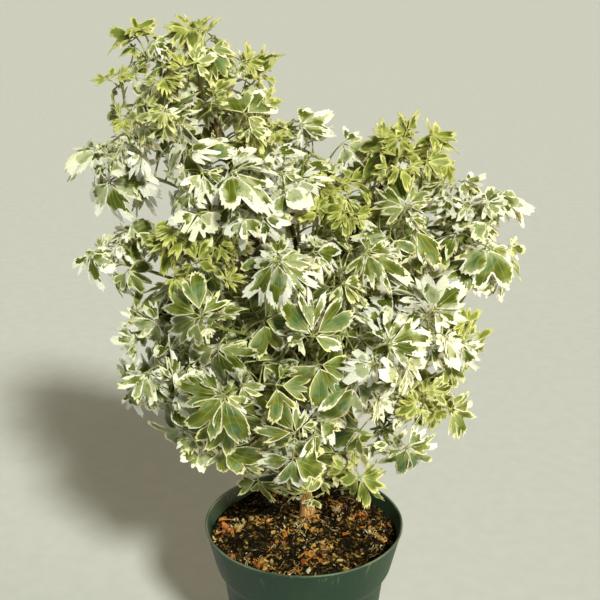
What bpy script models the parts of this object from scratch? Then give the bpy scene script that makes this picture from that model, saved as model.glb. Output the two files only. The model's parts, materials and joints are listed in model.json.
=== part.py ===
"""A variegated ming aralia in a round nursery pot with a collar.

The object stands on Z = 0 with the pot's axis on Z, and is seen from -Y. It is one pot, the soil in it, the
woody frame of trunk and limbs, and leafy stems. Each leafy stem is one object: a thin stem with its
compound leaves, whose leaflets are cut to the rib. Lengths are in metres and angles in degrees.
"""

import bmesh
import bpy
import numpy as np
from mathutils import Vector
from mathutils.bvhtree import BVHTree

# Pot
RIM_RADIUS = 0.076
POT_HEIGHT = 0.140
COLLAR_FOOT_RADIUS = 0.0680
COLLAR_HEIGHT = 0.035
STEP_RADIUS = 0.0625
STEP_HEIGHT = 0.009
BASE_RADIUS = 0.0510
BASE_CORNER = 0.003
WALL = 0.0016
LIP = 0.0012
FLOOR = 0.0024
POT_SIDES = 32
DRAIN_HOLES = 6
DRAIN_RADIUS = 0.0048
DRAIN_RING_RADIUS = 0.036

# Soil
SOIL_BELOW_RIM = 0.012
SOIL_MOUND = 0.008
SOIL_BUMP = 0.0016
SOIL_RINGS = 4
CLEARANCE = 0.0003

# Woody frame. Each limb leaves its parent at a height and runs through its own points.
SOIL_HOLE_DEPTH = 0.030
TRUNK_FOOT = (0.003, 0.016)
LIMBS = {
    "trunk": {
        "parent": None,
        "points": [(*TRUNK_FOOT, 0.1065), (0.002, 0.015, 0.150), (-0.004, 0.010, 0.200), (-0.010, 0.006, 0.255),
                   (-0.022, 0.003, 0.310), (-0.035, 0.001, 0.362), (-0.046, 0.000, 0.408), (-0.058, 0.000, 0.440),
                   (-0.073, 0.000, 0.470)],
        "radii": (0.0056, 0.0020), "steps": 12, "sides": 8,
    },
    "right": {
        "parent": "trunk", "height": 0.176,
        "points": [(0.010, 0.010, 0.215), (0.018, 0.010, 0.270), (0.022, 0.012, 0.325), (0.038, 0.014, 0.368),
                   (0.055, 0.012, 0.400), (0.064, 0.008, 0.425)],
        "radii": (0.0040, 0.0016), "steps": 9, "sides": 6,
    },
    "left_low": {
        "parent": "trunk", "height": 0.196,
        "points": [(-0.032, 0.000, 0.234), (-0.058, -0.006, 0.262), (-0.080, -0.012, 0.290)],
        "radii": (0.0032, 0.0016), "steps": 6, "sides": 6,
    },
    "right_low": {
        "parent": "right", "height": 0.222,
        "points": [(0.044, 0.002, 0.262), (0.070, 0.000, 0.300), (0.093, 0.001, 0.334), (0.106, -0.001, 0.354)],
        "radii": (0.0030, 0.0014), "steps": 7, "sides": 6,
    },
    "front": {
        "parent": "trunk", "height": 0.166,
        "points": [(-0.003, -0.018, 0.212), (-0.006, -0.038, 0.262), (0.002, -0.050, 0.312), (0.008, -0.048, 0.352)],
        "radii": (0.0032, 0.0015), "steps": 7, "sides": 6,
    },
    "back": {
        "parent": "trunk", "height": 0.184,
        "points": [(0.002, 0.042, 0.226), (0.004, 0.060, 0.276), (-0.004, 0.064, 0.330), (-0.014, 0.056, 0.382)],
        "radii": (0.0032, 0.0015), "steps": 7, "sides": 6,
    },
}

# Leafy stems: the limb that each grows from, where it ends, its longest leaflet and its number of leaves. The last
# list names those with young yellow-green leaves.
LEAFY_STEMS = {
    "crown_left": ("trunk", (-0.106, 0.000, 0.492), 0.025, 5),
    "crown_top": ("trunk", (-0.068, -0.004, 0.500), 0.025, 5),
    "crown_right": ("trunk", (-0.040, 0.004, 0.466), 0.026, 4),
    "crown_front": ("trunk", (-0.088, -0.026, 0.440), 0.028, 4),
    "left_hanging": ("trunk", (-0.126, -0.008, 0.418), 0.029, 5),
    "white_fan": ("trunk", (-0.046, -0.048, 0.410), 0.038, 4),
    "middle_top": ("right", (-0.006, 0.004, 0.430), 0.030, 4),
    "middle_young": ("right", (0.018, -0.028, 0.402), 0.026, 3),
    "right_top": ("right", (0.078, 0.004, 0.426), 0.028, 4),
    "right_hanging": ("right_low", (0.122, -0.004, 0.388), 0.030, 4),
    "right_hanging_low": ("right_low", (0.130, 0.002, 0.346), 0.027, 4),
    "right_upper": ("right", (0.062, -0.042, 0.386), 0.032, 4),
    "left_young": ("trunk", (-0.074, -0.046, 0.374), 0.027, 4),
    "left_long": ("trunk", (-0.140, -0.010, 0.354), 0.024, 4),
    "middle_left": ("front", (-0.014, -0.074, 0.366), 0.032, 4),
    "middle_right": ("front", (0.030, -0.062, 0.366), 0.031, 4),
    "left_outer": ("left_low", (-0.106, -0.016, 0.306), 0.031, 4),
    "left_outer_low": ("left_low", (-0.100, -0.040, 0.272), 0.032, 4),
    "front_left": ("front", (-0.054, -0.078, 0.328), 0.033, 4),
    "front_left_low": ("front", (-0.040, -0.092, 0.292), 0.038, 4),
    "front_middle": ("front", (0.004, -0.092, 0.322), 0.030, 3),
    "front_right": ("front", (0.040, -0.084, 0.312), 0.034, 4),
    "right_front": ("right_low", (0.074, -0.050, 0.322), 0.032, 4),
    "right_outer": ("right_low", (0.106, -0.008, 0.288), 0.029, 4),
    "right_outer_low": ("right_low", (0.092, -0.020, 0.246), 0.028, 3),
    "low_right": ("right_low", (0.056, -0.052, 0.242), 0.030, 4),
    "low_left": ("left_low", (-0.072, -0.066, 0.250), 0.031, 4),
    "low_front": ("front", (-0.004, -0.086, 0.262), 0.032, 4),
    "foot_left": ("trunk", (-0.034, -0.040, 0.214), 0.025, 3),
    "foot_middle": ("trunk", (0.002, -0.030, 0.190), 0.023, 3),
    "foot_right": ("right", (0.032, -0.036, 0.210), 0.027, 3),
    "back_crown": ("trunk", (-0.062, 0.038, 0.442), 0.030, 3),
    "back_top": ("back", (-0.012, 0.052, 0.408), 0.032, 4),
    "back_right_top": ("right", (0.052, 0.050, 0.392), 0.031, 3),
    "back_left_top": ("trunk", (-0.082, 0.044, 0.368), 0.031, 3),
    "back_middle": ("back", (-0.004, 0.092, 0.350), 0.034, 3),
    "back_right": ("right_low", (0.082, 0.054, 0.330), 0.032, 3),
    "back_left": ("left_low", (-0.084, 0.050, 0.300), 0.033, 3),
    "back_middle_left": ("back", (-0.044, 0.086, 0.304), 0.033, 3),
    "back_middle_right": ("back", (0.042, 0.084, 0.298), 0.033, 3),
    "back_low_right": ("right_low", (0.076, 0.044, 0.256), 0.031, 3),
    "back_low": ("back", (0.002, 0.078, 0.256), 0.030, 3),
    "back_low_left": ("left_low", (-0.066, 0.050, 0.258), 0.030, 3),
}
YOUNG = ("crown_left", "crown_top", "left_young", "middle_young", "right_top", "right_outer", "right_outer_low")
STEM_RADII = (0.0015, 0.0010)
STEM_STEPS = 5
STEM_SIDES = 4
ROOT_FALL = 0.55
STEM_ARCH = 0.10
STEM_SHIFT = 0.0012

# Compound leaf: the leaflets' angles from the leaf's axis, their lengths as shares of the longest, and
# where the toothed end of a leaflet turns, as shares of its length.
BROAD_LEAF = {"angles": (-98, -49, 0, 49, 98), "lengths": (0.68, 0.88, 1.0, 0.88, 0.68), "half_width": 19.5}
SMALL_LEAF = {"angles": (-64, 0, 64), "lengths": (0.84, 1.0, 0.84), "half_width": 24.0}
BROAD_LEAVES = 1
LOBE_REACHES = (0.85, 1.0)
LOBE_NOTCH_REACH = 0.78
RIB_CUT_REACH = 0.15
LEAF_ARCH = 0.30
LEAF_DROOP = 0.30
LEAF_RISE = 0.25
LEAF_LEAN = (50, 76)
LEAF_ROLL = 16
LEAF_SIZES = (0.88, 1.12)
SHRINKING = (1.0, 0.9, 0.8, 0.68, 0.56)
END_LEAF_POLAR = (4, 22)
RING_LEAF_POLAR = (50, 80)
RING_LEAF_SWING = 14
LEAFLET_SWING = 5.0
LEAFLET_VARIATION = 0.12
LEAFLET_FOLD = 0.16
BLADE = 0.0010
PETIOLE = 0.0013
PETIOLE_SHARE = 0.62
PETIOLE_SPREAD = (0.85, 1.15)
HUB_WIDTH = 0.0018
LEAF_SPACING = 0.0075
LEAF_MARGIN = 0.0004
LEAST_LEAF_HEIGHT = 0.150
LEAST_LEAN = 0.0
MOST_TRIES = 60
SEED = 12

CROWN_CENTRE = np.array([0.0, 0.0, 0.300])
UP = np.array([0.0, 0.0, 1.0])
FRONT = np.array([0.0, -1.0, 0.0])
LIGHT_PULL = 1.0
LIGHT_FROM = 0.042
LIGHT_FADE = 0.060

COLOURS = {
    "pot": ((0.060, 0.125, 0.080), 0.45),
    "soil": ((0.045, 0.028, 0.016), 0.95),
    "bark": ((0.200, 0.125, 0.065), 0.85),
    "leaf": ((0.300, 0.400, 0.200), 0.50),
    "young_leaf": ((0.420, 0.520, 0.120), 0.50),
}


def unit(v):
    return v / np.linalg.norm(v)


def smooth_path(points, count):
    """Catmull-Rom curve through the points, read at even steps of its parameter."""
    p = np.array(points, float)
    p = np.vstack([2 * p[0] - p[1], p, 2 * p[-1] - p[-2]])
    t = np.linspace(0, len(p) - 3 - 1e-9, count)
    i = t.astype(int)
    u = (t - i)[:, None]
    a, b, c, d = p[i], p[i + 1], p[i + 2], p[i + 3]
    return 0.5 * (2 * b + (c - a) * u + (2 * a - 5 * b + 4 * c - d) * u**2 + (3 * b - a - 3 * c + d) * u**3)


def at_height(line, z):
    """Point of a rising line at height z."""
    return np.array([np.interp(z, line[:, 2], line[:, 0]), np.interp(z, line[:, 2], line[:, 1]), z])


def limb_lines():
    """Centre line and radius of each limb, read at its own number of steps."""
    lines = {}
    for name, limb in LIMBS.items():
        points = limb["points"]
        if limb["parent"]:
            points = [at_height(lines[limb["parent"]][0], limb["height"]), *points]
        line = smooth_path(points, limb["steps"])
        lines[name] = (line, np.linspace(*limb["radii"], limb["steps"]))
    return lines


def prism(line, radii, sides):
    """Points and faces of a tube with flat sides round a line, open at its ends, for the clearance tests."""
    along = np.gradient(line, axis=0)
    along /= np.linalg.norm(along, axis=1)[:, None]
    side = np.cross(along, unit(np.array([0.3, 0.2, 1.0])))
    side /= np.linalg.norm(side, axis=1)[:, None]
    turn = np.linspace(0, 2 * np.pi, sides, endpoint=False)
    ring = (np.cos(turn)[None, :, None] * side[:, None] + np.sin(turn)[None, :, None] * np.cross(along, side)[:, None])
    points = (line[:, None] + ring * np.asarray(radii)[:, None, None]).reshape(-1, 3)
    faces = []
    for i in range(len(line) - 1):
        for j in range(sides):
            k = (j + 1) % sides
            faces.append((i * sides + j, i * sides + k, (i + 1) * sides + k, (i + 1) * sides + j))
    return points, faces


def tree_of(points, faces):
    return BVHTree.FromPolygons([tuple(map(float, p)) for p in points], faces)


def stem_line(limb, tip, jitter):
    """An arched line from the limb to the tip. It leaves the limb below the tip by a share of the distance out."""
    tip = np.array(tip)
    out = np.linalg.norm(tip[:2] - at_height(limb, tip[2])[:2])
    height = np.clip(tip[2] - ROOT_FALL * out, limb[1, 2], limb[-1, 2] - 0.002)
    height = max(height - abs(jitter[0]), limb[0, 2] + 0.012)
    root = at_height(limb, height)
    reach = np.linalg.norm(tip - root)
    middle = (root + tip) / 2 + UP * STEM_ARCH * reach + np.array([jitter[1], jitter[2], 0]) * 0.5
    t = np.linspace(0, 1, STEM_STEPS)[:, None]
    return (1 - t) ** 2 * root + 2 * t * (1 - t) * middle + t**2 * tip


def leaf_outline(leaf):
    """The leaf's outline as (distance from the hub, angle, fold), round from one side of the petiole to the other."""
    half, angles, reach = leaf["half_width"], leaf["angles"], leaf["reach"]
    points = [(HUB_WIDTH * 0.75, -145.0, 0.0)]
    for i, (angle, r) in enumerate(zip(angles, reach)):
        if i:
            points.append((RIB_CUT_REACH * leaf["length"], (angle + angles[i - 1]) / 2, 0.0))
        first, second = LOBE_REACHES if i % 2 else LOBE_REACHES[::-1]
        points.append((first * r, angle - half, 1.0))
        points.append((LOBE_NOTCH_REACH * r, angle + half * (second - first), 0.0))
        points.append((second * r, angle + half, 1.0))
    points.append((HUB_WIDTH * 0.75, 145.0, 0.0))
    return np.array(points)


def blade_points(leaf, grow=0.0):
    """Hub first, then the outline, in space. A point drops with the square of its distance from the hub, and the
    corners of a leaflet stand above its rib."""
    r, angle, fold = leaf_outline(leaf).T
    r = r + grow
    a = np.radians(angle)
    lift = LEAFLET_FOLD * fold * r - LEAF_ARCH * r**2 / leaf["length"]
    flat = (np.outer(r * np.cos(a), leaf["forward"]) + np.outer(r * np.sin(a), leaf["side"])
            + np.outer(lift, leaf["normal"]))
    return leaf["hub"] + np.vstack([np.zeros(3), flat])


def leaf_frame(spray, k, attempt, rng):
    """Where leaf k of a leafy stem stands. The first is near the stem's tip and the others stand round it. Each
    blade leans over from its petiole, hangs a little, and at the plant's front turns to the light there."""
    line, axis, count = spray["line"], spray["axis"], spray["count"]
    slack = 1 + attempt / 12
    length = spray["length"] * rng.uniform(*LEAF_SIZES) * SHRINKING[attempt * len(SHRINKING) // MOST_TRIES]
    back = min((0.3 + k) * LEAF_SPACING / np.linalg.norm(line[-1] - line[-2]), STEM_STEPS - 1.6)
    i = int(back)
    root = line[-1 - i] + (line[-2 - i] - line[-1 - i]) * (back - i)
    polar = rng.uniform(*(END_LEAF_POLAR if k == 0 and count > 2 else RING_LEAF_POLAR))
    azimuth = spray["turn"] + 360 * k / max(count - 1, 1) + rng.uniform(-1, 1) * RING_LEAF_SWING * slack
    across = unit(np.cross(axis, UP))
    p, q = np.radians((polar, azimuth))
    around = np.cos(q) * np.cross(across, axis) + np.sin(q) * across
    outward = np.cos(p) * axis + np.sin(p) * around
    away = np.cos(p) * around - np.sin(p) * axis
    lean = np.radians(rng.uniform(*LEAF_LEAN))
    light = LIGHT_PULL * np.clip((LIGHT_FROM - root[1]) / LIGHT_FADE, 0, 1)
    normal = unit(np.sin(lean) * outward - np.cos(lean) * away + LEAF_RISE * UP + light * FRONT)
    forward = np.cos(lean) * outward + np.sin(lean) * away - LEAF_DROOP * UP
    forward = unit(forward - normal * (forward @ normal))
    roll = np.radians(rng.uniform(-1, 1) * LEAF_ROLL * slack)
    normal = np.cos(roll) * normal + np.sin(roll) * np.cross(normal, forward)
    form = BROAD_LEAF if k < BROAD_LEAVES else SMALL_LEAF
    number = len(form["angles"])
    return {"root": root, "hub": root + outward * length * PETIOLE_SHARE * rng.uniform(*PETIOLE_SPREAD),
            "forward": forward, "side": np.cross(normal, forward), "normal": normal, "length": length,
            "angles": np.array(form["angles"]) + rng.uniform(-LEAFLET_SWING, LEAFLET_SWING, number),
            "reach": length * np.array(form["lengths"]) * (1 - LEAFLET_VARIATION * rng.uniform(0, 1, number)),
            "half_width": form["half_width"]}


def leaf_shell(leaf):
    """Points and faces of the leaf's outside grown by the margin, for the clearance tests: blade and petiole."""
    top = blade_points(leaf, LEAF_MARGIN) + leaf["normal"] * LEAF_MARGIN
    low = top - leaf["normal"] * (BLADE + 2 * LEAF_MARGIN)
    n = len(top)
    ring = list(range(1, n))
    turned = ring[1:] + ring[:1]
    faces = [(0, a, b) for a, b in zip(ring, turned)]
    faces += [(n, n + b, n + a) for a, b in zip(ring, turned)]
    faces += [(a, n + a, n + b, b) for a, b in zip(ring, turned)]
    reach = leaf["hub"] - leaf["root"]
    start = leaf["root"] + unit(reach) * 3.0 * STEM_RADII[0]
    stalk, sides = prism(np.array([start, leaf["hub"]]), [PETIOLE * 0.8 + LEAF_MARGIN] * 2, 4)
    faces += [tuple(2 * n + i for i in face) for face in sides]
    return np.vstack([top, low, stalk]), faces


def ball(points):
    """Centre and radius of a sphere that holds the points."""
    centre = (points.min(0) + points.max(0)) / 2
    return centre, np.linalg.norm(points - centre, axis=1).max()


def is_clear(points, faces, placed):
    tree = tree_of(points, faces)
    centre, radius = ball(points)
    return not any(
        np.linalg.norm(centre - other_centre) < radius + other_radius and tree.overlap(other)
        for other, other_centre, other_radius in placed
    )


def shape(points, faces):
    return tree_of(points, faces), *ball(points)


def grow_stem(spray, limb, tip, limb_shapes, placed):
    """Turns the stem's root and arch until it is clear of the limbs beyond its root and of the other stems."""
    for attempt in range(MOST_TRIES):
        line = stem_line(limb, tip, spray["rng"].uniform(-1, 1, 3) * STEM_SHIFT * attempt)
        points, faces = prism(line, np.linspace(*STEM_RADII, STEM_STEPS) + LEAF_MARGIN, STEM_SIDES)
        beyond_root = [tuple(i - STEM_SIDES for i in face) for face in faces[STEM_SIDES:]]
        if is_clear(points, faces, placed) and is_clear(points[STEM_SIDES:], beyond_root, limb_shapes):
            placed.append(shape(points, faces))
            return line
    raise ValueError("no clear way for a stem")


def grow_leaf(spray, k, placed):
    """Turns leaf k until it is clear of all that is placed, or else makes it smaller. None if nothing helps."""
    rng = np.random.default_rng([SEED, spray["number"], k + 1])
    for attempt in range(MOST_TRIES):
        leaf = leaf_frame(spray, k, attempt, rng)
        points, faces = leaf_shell(leaf)
        leans_back = leaf["forward"] @ unit(leaf["hub"] - leaf["root"]) < LEAST_LEAN
        if leans_back or points[:, 2].min() < LEAST_LEAF_HEIGHT:
            continue
        if is_clear(points, faces, placed):
            placed.append(shape(points, faces))
            return leaf
    return None


def grow():
    """The limbs, and each leafy stem with its line and its leaves: all the stems first, then a leaf on each in turn."""
    limbs = limb_lines()
    limb_shapes = [shape(*prism(line, radii + LEAF_MARGIN, 6)) for line, radii in limbs.values()]
    stems = []
    sprays = {}
    for number, (name, (limb, tip, length, count)) in enumerate(LEAFY_STEMS.items()):
        rng = np.random.default_rng([SEED, number])
        spray = {"number": number, "rng": rng, "length": length, "count": count, "turn": rng.uniform(0, 360),
                 "leaves": []}
        spray["line"] = line = grow_stem(spray, limbs[limb][0], tip, limb_shapes, stems)
        spray["axis"] = unit(unit(np.array(tip) - CROWN_CENTRE) + 0.5 * UP + 0.5 * unit(line[-1] - line[-2]))
        sprays[name] = spray
    placed = limb_shapes + stems
    for k in range(max(spray["count"] for spray in sprays.values())):
        for spray in sprays.values():
            leaf = grow_leaf(spray, k, placed) if k < spray["count"] else None
            if leaf:
                spray["leaves"].append(leaf)
    return limbs, sprays


def material(name):
    colour, roughness = COLOURS[name]
    made = bpy.data.materials.get(name) or bpy.data.materials.new(name)
    made.use_nodes = True
    shader = made.node_tree.nodes["Principled BSDF"]
    shader.inputs["Base Color"].default_value = (*colour, 1)
    shader.inputs["Roughness"].default_value = roughness
    shader.inputs["Metallic"].default_value = 0
    return made


def collection(name):
    made = bpy.data.collections.new(name)
    bpy.context.scene.collection.children.link(made)
    return made


def new_object(name, data, group, colour=None):
    obj = bpy.data.objects.new(name, data)
    group.objects.link(obj)
    if colour:
        data.materials.clear()
        data.materials.append(material(colour))
    return obj


def mesh_from(bm, name):
    bmesh.ops.recalc_face_normals(bm, faces=bm.faces)
    mesh = bpy.data.meshes.new(name)
    bm.to_mesh(mesh)
    bm.free()
    return mesh


def evaluated_mesh(obj):
    bpy.context.view_layer.update()
    return bpy.data.meshes.new_from_object(obj.evaluated_get(bpy.context.evaluated_depsgraph_get()))


def tube(name, line, radii, sides, group):
    """A round bar along the line, as a mesh with welded caps. The curve's bevel gives four sides at resolution 0 and
    two more at each step."""
    curve = bpy.data.curves.new(name, "CURVE")
    curve.dimensions = "3D"
    curve.bevel_depth = 1.0
    curve.bevel_resolution = (sides - 4) // 2
    curve.use_fill_caps = True
    spline = curve.splines.new("POLY")
    spline.points.add(len(line) - 1)
    for point, place, radius in zip(spline.points, line, radii):
        point.co = (*place, 1)
        point.radius = radius
    guide = new_object(name + "_guide", curve, group)
    bm = bmesh.new()
    bm.from_mesh(evaluated_mesh(guide))
    bmesh.ops.remove_doubles(bm, verts=bm.verts, dist=1e-6)
    bpy.data.objects.remove(guide)
    return new_object(name, mesh_from(bm, name), group)


def boolean(obj, operation, group):
    """Joins a collection's objects to the object, or cuts them from it, and removes them with the collection."""
    cut = obj.modifiers.new(operation.lower(), "BOOLEAN")
    cut.operation = operation
    cut.operand_type = "COLLECTION"
    cut.collection = group
    cut.solver = "MANIFOLD"
    mesh = evaluated_mesh(obj)
    obj.modifiers.clear()
    obj.data = mesh
    for other in list(group.objects):
        bpy.data.objects.remove(other)
    bpy.data.collections.remove(group)


def fused(name, objects, group, colour):
    """One object from several that overlap."""
    first, rest = objects[0], objects[1:]
    others = collection(name + "_pieces")
    for obj in rest:
        group.objects.unlink(obj)
        others.objects.link(obj)
    boolean(first, "UNION", others)
    first.name = name
    first.data.name = name
    first.data.materials.clear()
    first.data.materials.append(material(colour))
    return first


def pot_profile():
    """Outer side from the rim down to the base's centre, as (radius, height)."""
    collar_foot = POT_HEIGHT - COLLAR_HEIGHT
    return [(RIM_RADIUS - LIP * 0.6, POT_HEIGHT), (RIM_RADIUS + LIP * 0.4, POT_HEIGHT - LIP),
            (RIM_RADIUS - LIP * 0.4, POT_HEIGHT - 2.6 * LIP), (COLLAR_FOOT_RADIUS, collar_foot),
            (STEP_RADIUS, collar_foot - STEP_HEIGHT), (BASE_RADIUS, BASE_CORNER), (BASE_RADIUS - BASE_CORNER, 0)]


def inner_profile():
    """Inner side from the rim down to the floor's corner."""
    collar_foot = POT_HEIGHT - COLLAR_HEIGHT
    return [(RIM_RADIUS - WALL - LIP * 0.6, POT_HEIGHT), (COLLAR_FOOT_RADIUS - WALL, collar_foot),
            (STEP_RADIUS - WALL, collar_foot - STEP_HEIGHT), (BASE_RADIUS - WALL, FLOOR)]


def turned(name, profile, sides, group):
    """A turned solid from a profile that runs down its outer side and ends on the axis at both ends."""
    mesh = bpy.data.meshes.new(name)
    edges = [(i, i + 1) for i in range(len(profile) - 1)]
    mesh.from_pydata([(r, 0, z) for r, z in profile], edges, [])
    obj = new_object(name, mesh, group)
    screw = obj.modifiers.new("turn", "SCREW")
    screw.steps = screw.render_steps = sides
    screw.use_merge_vertices = True
    screw.merge_threshold = 0.0001
    return obj


def make_pot(group):
    outside = pot_profile()
    inside = inner_profile()[::-1]
    profile = [(0, FLOOR), *inside, *outside, (0, 0)]
    pot = turned("pot", profile, POT_SIDES, group)
    pot.data = evaluated_mesh(pot)
    pot.modifiers.clear()
    holes = collection("pot_holes")
    for k in range(DRAIN_HOLES):
        turn = 2 * np.pi * (k + 0.5) / DRAIN_HOLES
        bm = bmesh.new()
        bmesh.ops.create_cone(bm, cap_ends=True, segments=8, radius1=DRAIN_RADIUS, radius2=DRAIN_RADIUS, depth=4 * FLOOR)
        hole = new_object("hole", mesh_from(bm, "hole"), holes)
        hole.location = (DRAIN_RING_RADIUS * np.cos(turn), DRAIN_RING_RADIUS * np.sin(turn), FLOOR / 2)
    boolean(pot, "DIFFERENCE", holes)
    pot.data.materials.clear()
    pot.data.materials.append(material("pot"))
    pot.data.shade_smooth()
    pot.data.set_sharp_from_angle(angle=np.radians(35))
    return pot


def soil_height(x, y):
    """Height of the soil's surface: a low mound round the trunk, with shallow bumps that fade out at the wall."""
    level = POT_HEIGHT - SOIL_BELOW_RIM
    near = np.exp(-((x - TRUNK_FOOT[0]) ** 2 + (y - TRUNK_FOOT[1]) ** 2) / 0.030**2)
    bump = np.sin(x * 190 + 0.7) * np.cos(y * 160 - 0.4) + 0.6 * np.sin(x * 330 - y * 280)
    return level + SOIL_MOUND * near + SOIL_BUMP * bump * (1 - near)


def make_soil(limbs, group):
    level = POT_HEIGHT - SOIL_BELOW_RIM
    (_, rim), (r_foot, z_foot), (r_step, z_step), (r_floor, z_floor) = inner_profile()
    r_rim = inner_profile()[0][0]
    wall_at_level = np.interp(level, (z_foot, rim), (r_foot, r_rim))
    top = [(wall_at_level * i / SOIL_RINGS, level) for i in range(SOIL_RINGS + 1)]
    side = [(r_foot, z_foot), (r_step, z_step), (r_floor, z_floor + CLEARANCE)]
    profile = [(r - CLEARANCE if r > CLEARANCE else 0, z) for r, z in top + side] + [(0, z_floor + CLEARANCE)]
    soil = turned("soil", profile, POT_SIDES, group)
    mesh = evaluated_mesh(soil)
    soil.modifiers.clear()
    soil.data = mesh
    edge = wall_at_level - 2 * CLEARANCE
    for vertex in mesh.vertices:
        x, y, z = vertex.co
        if z > level - 1e-5 and np.hypot(x, y) < edge:
            vertex.co.z = soil_height(x, y)
    line, radii = limbs["trunk"]
    below = smooth_path(LIMBS["trunk"]["points"], 40)
    below = below[below[:, 2] < POT_HEIGHT + 0.02]
    below[0, 2] -= CLEARANCE
    thick = np.interp(below[:, 2], line[:, 2], radii) + 0.0004
    socket = collection("trunk_socket")
    tube("socket", below, thick, 12, socket)
    boolean(soil, "DIFFERENCE", socket)
    soil.data.materials.clear()
    soil.data.materials.append(material("soil"))
    return soil


def make_frame(limbs, group, grown=0.0, name="trunk_and_limbs"):
    pieces = []
    for limb, (line, radii) in limbs.items():
        pieces.append(tube(name + "_" + limb, line, radii + grown, LIMBS[limb]["sides"], group))
    return fused(name, pieces, group, "bark")


def make_leaf(name, leaf, group):
    """A closed leaf: the blade is a fan of faces round the hub, given its thickness along the leaf's normal, and the
    petiole is drawn out of its rear face to the stem."""
    bm = bmesh.new()
    hub, *ring = [bm.verts.new(p) for p in blade_points(leaf)]
    rear = (ring[-1], ring[0])
    for a, b in zip(ring, ring[1:] + ring[:1]):
        bm.faces.new((hub, a, b))
    made = bmesh.ops.extrude_face_region(bm, geom=bm.faces[:])["geom"]
    lower = [v for v in made if isinstance(v, bmesh.types.BMVert)]
    bmesh.ops.translate(bm, verts=lower, vec=Vector(-BLADE * leaf["normal"]))
    rear_face = next(f for f in bm.faces if len(f.verts) == 4 and rear[0] in f.verts and rear[1] in f.verts)
    stalk = bmesh.ops.extrude_discrete_faces(bm, faces=[rear_face])["faces"][0]
    reach = unit(leaf["hub"] - leaf["root"])
    side = unit(leaf["side"] - reach * (leaf["side"] @ reach))
    over = np.cross(reach, side)
    for vertex in stalk.verts:
        place = np.array(vertex.co) - leaf["hub"]
        across = np.sign(place @ leaf["side"])
        above = np.sign((place + BLADE / 2 * leaf["normal"]) @ leaf["normal"])
        vertex.co = Vector(leaf["root"] + PETIOLE / 2 * (across * side + above * over))
    bmesh.ops.triangulate(bm, faces=bm.faces)
    return new_object(name, mesh_from(bm, name), group)


def make_leafy_stem(name, spray, limbs, group):
    radii = np.linspace(*STEM_RADII, STEM_STEPS)
    pieces = [tube(name + "_stem", spray["line"], radii, STEM_SIDES, group)]
    for k, leaf in enumerate(spray["leaves"]):
        pieces.append(make_leaf(f"{name}_leaf_{k}", leaf, group))
    made = fused("leafy_stem_" + name, pieces, group, "young_leaf" if name in YOUNG else "leaf")
    cutters = collection(name + "_cutter")
    make_frame(limbs, cutters, CLEARANCE, name + "_limb_cutter")
    boolean(made, "DIFFERENCE", cutters)
    return made


def main():
    for obj in list(bpy.data.objects):
        bpy.data.objects.remove(obj)
    group = collection("potted_ming_aralia")
    limbs, sprays = grow()
    make_pot(group)
    make_soil(limbs, group)
    make_frame(limbs, group)
    for name, spray in sprays.items():
        make_leafy_stem(name, spray, limbs, group)


main()
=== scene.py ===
"""Looks of the variegated ming aralia in its round nursery pot.

The plan of limbs, leafy stems and leaves is the one that the solids have, grown again from the same numbers.
Fine leaflets, stalks, bark, pot and soil are worked out on it with numpy. Lengths are in metres, angles in
degrees, except where a comment says otherwise, and colours are given as a screen shows them, from 0 to 255.
"""

import json

import bpy
import numpy as np
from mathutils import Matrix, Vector
from mathutils.bvhtree import BVHTree

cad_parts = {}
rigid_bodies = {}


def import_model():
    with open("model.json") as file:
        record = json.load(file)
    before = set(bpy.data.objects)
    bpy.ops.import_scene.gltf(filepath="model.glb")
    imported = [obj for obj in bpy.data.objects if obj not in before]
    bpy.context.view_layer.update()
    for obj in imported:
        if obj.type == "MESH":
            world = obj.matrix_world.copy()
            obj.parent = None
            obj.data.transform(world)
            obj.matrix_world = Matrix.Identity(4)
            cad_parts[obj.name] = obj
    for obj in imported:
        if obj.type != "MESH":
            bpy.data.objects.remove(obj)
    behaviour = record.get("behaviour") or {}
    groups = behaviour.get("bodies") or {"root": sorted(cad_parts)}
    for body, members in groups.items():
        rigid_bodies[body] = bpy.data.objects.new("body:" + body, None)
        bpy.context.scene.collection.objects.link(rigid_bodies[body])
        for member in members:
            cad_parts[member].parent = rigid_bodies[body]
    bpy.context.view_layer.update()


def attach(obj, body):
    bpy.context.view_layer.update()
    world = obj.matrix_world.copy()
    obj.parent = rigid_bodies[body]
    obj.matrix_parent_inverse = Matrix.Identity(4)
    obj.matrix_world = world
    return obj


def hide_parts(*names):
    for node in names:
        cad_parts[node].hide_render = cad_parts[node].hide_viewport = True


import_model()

# Pot
RIM_RADIUS = 0.076
POT_HEIGHT = 0.140
COLLAR_FOOT_RADIUS = 0.0680
COLLAR_HEIGHT = 0.035
STEP_RADIUS = 0.0625
STEP_HEIGHT = 0.009
BASE_RADIUS = 0.0510
BASE_CORNER = 0.003
WALL = 0.0016
LIP = 0.0012
EDGE = 0.0013
FLOOR = 0.0024
POT_ROUNDING = 0.0015
POT_SIDES = 144
DRAIN_HOLES = 6
DRAIN_RADIUS = 0.0048
DRAIN_RING_RADIUS = 0.036

# Soil: its level, the mound round the trunk, bumps, crumbs as (height, size, number of their noise), its gap
# to the pot, its net, and how far loose bits stay from the trunk and, as a share, within the wall
SOIL_BELOW_RIM = 0.012
SOIL_MOUND = 0.008
SOIL_MOUND_WIDTH = 0.030
SOIL_BUMP = 0.0016
HOLLOW_DEPTH = 0.0020
SOIL_CRUMBS = ((0.0019, 0.0075, 3), (0.0012, 0.0034, 4), (0.0006, 0.0017, 5))
CLEARANCE = 0.0003
WALL_FADE = 0.0015
SOIL_SIDES = 150
SOIL_RINGS = 58
TRUNK_KEEP = 0.008
WALL_KEEP = 0.97

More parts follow.
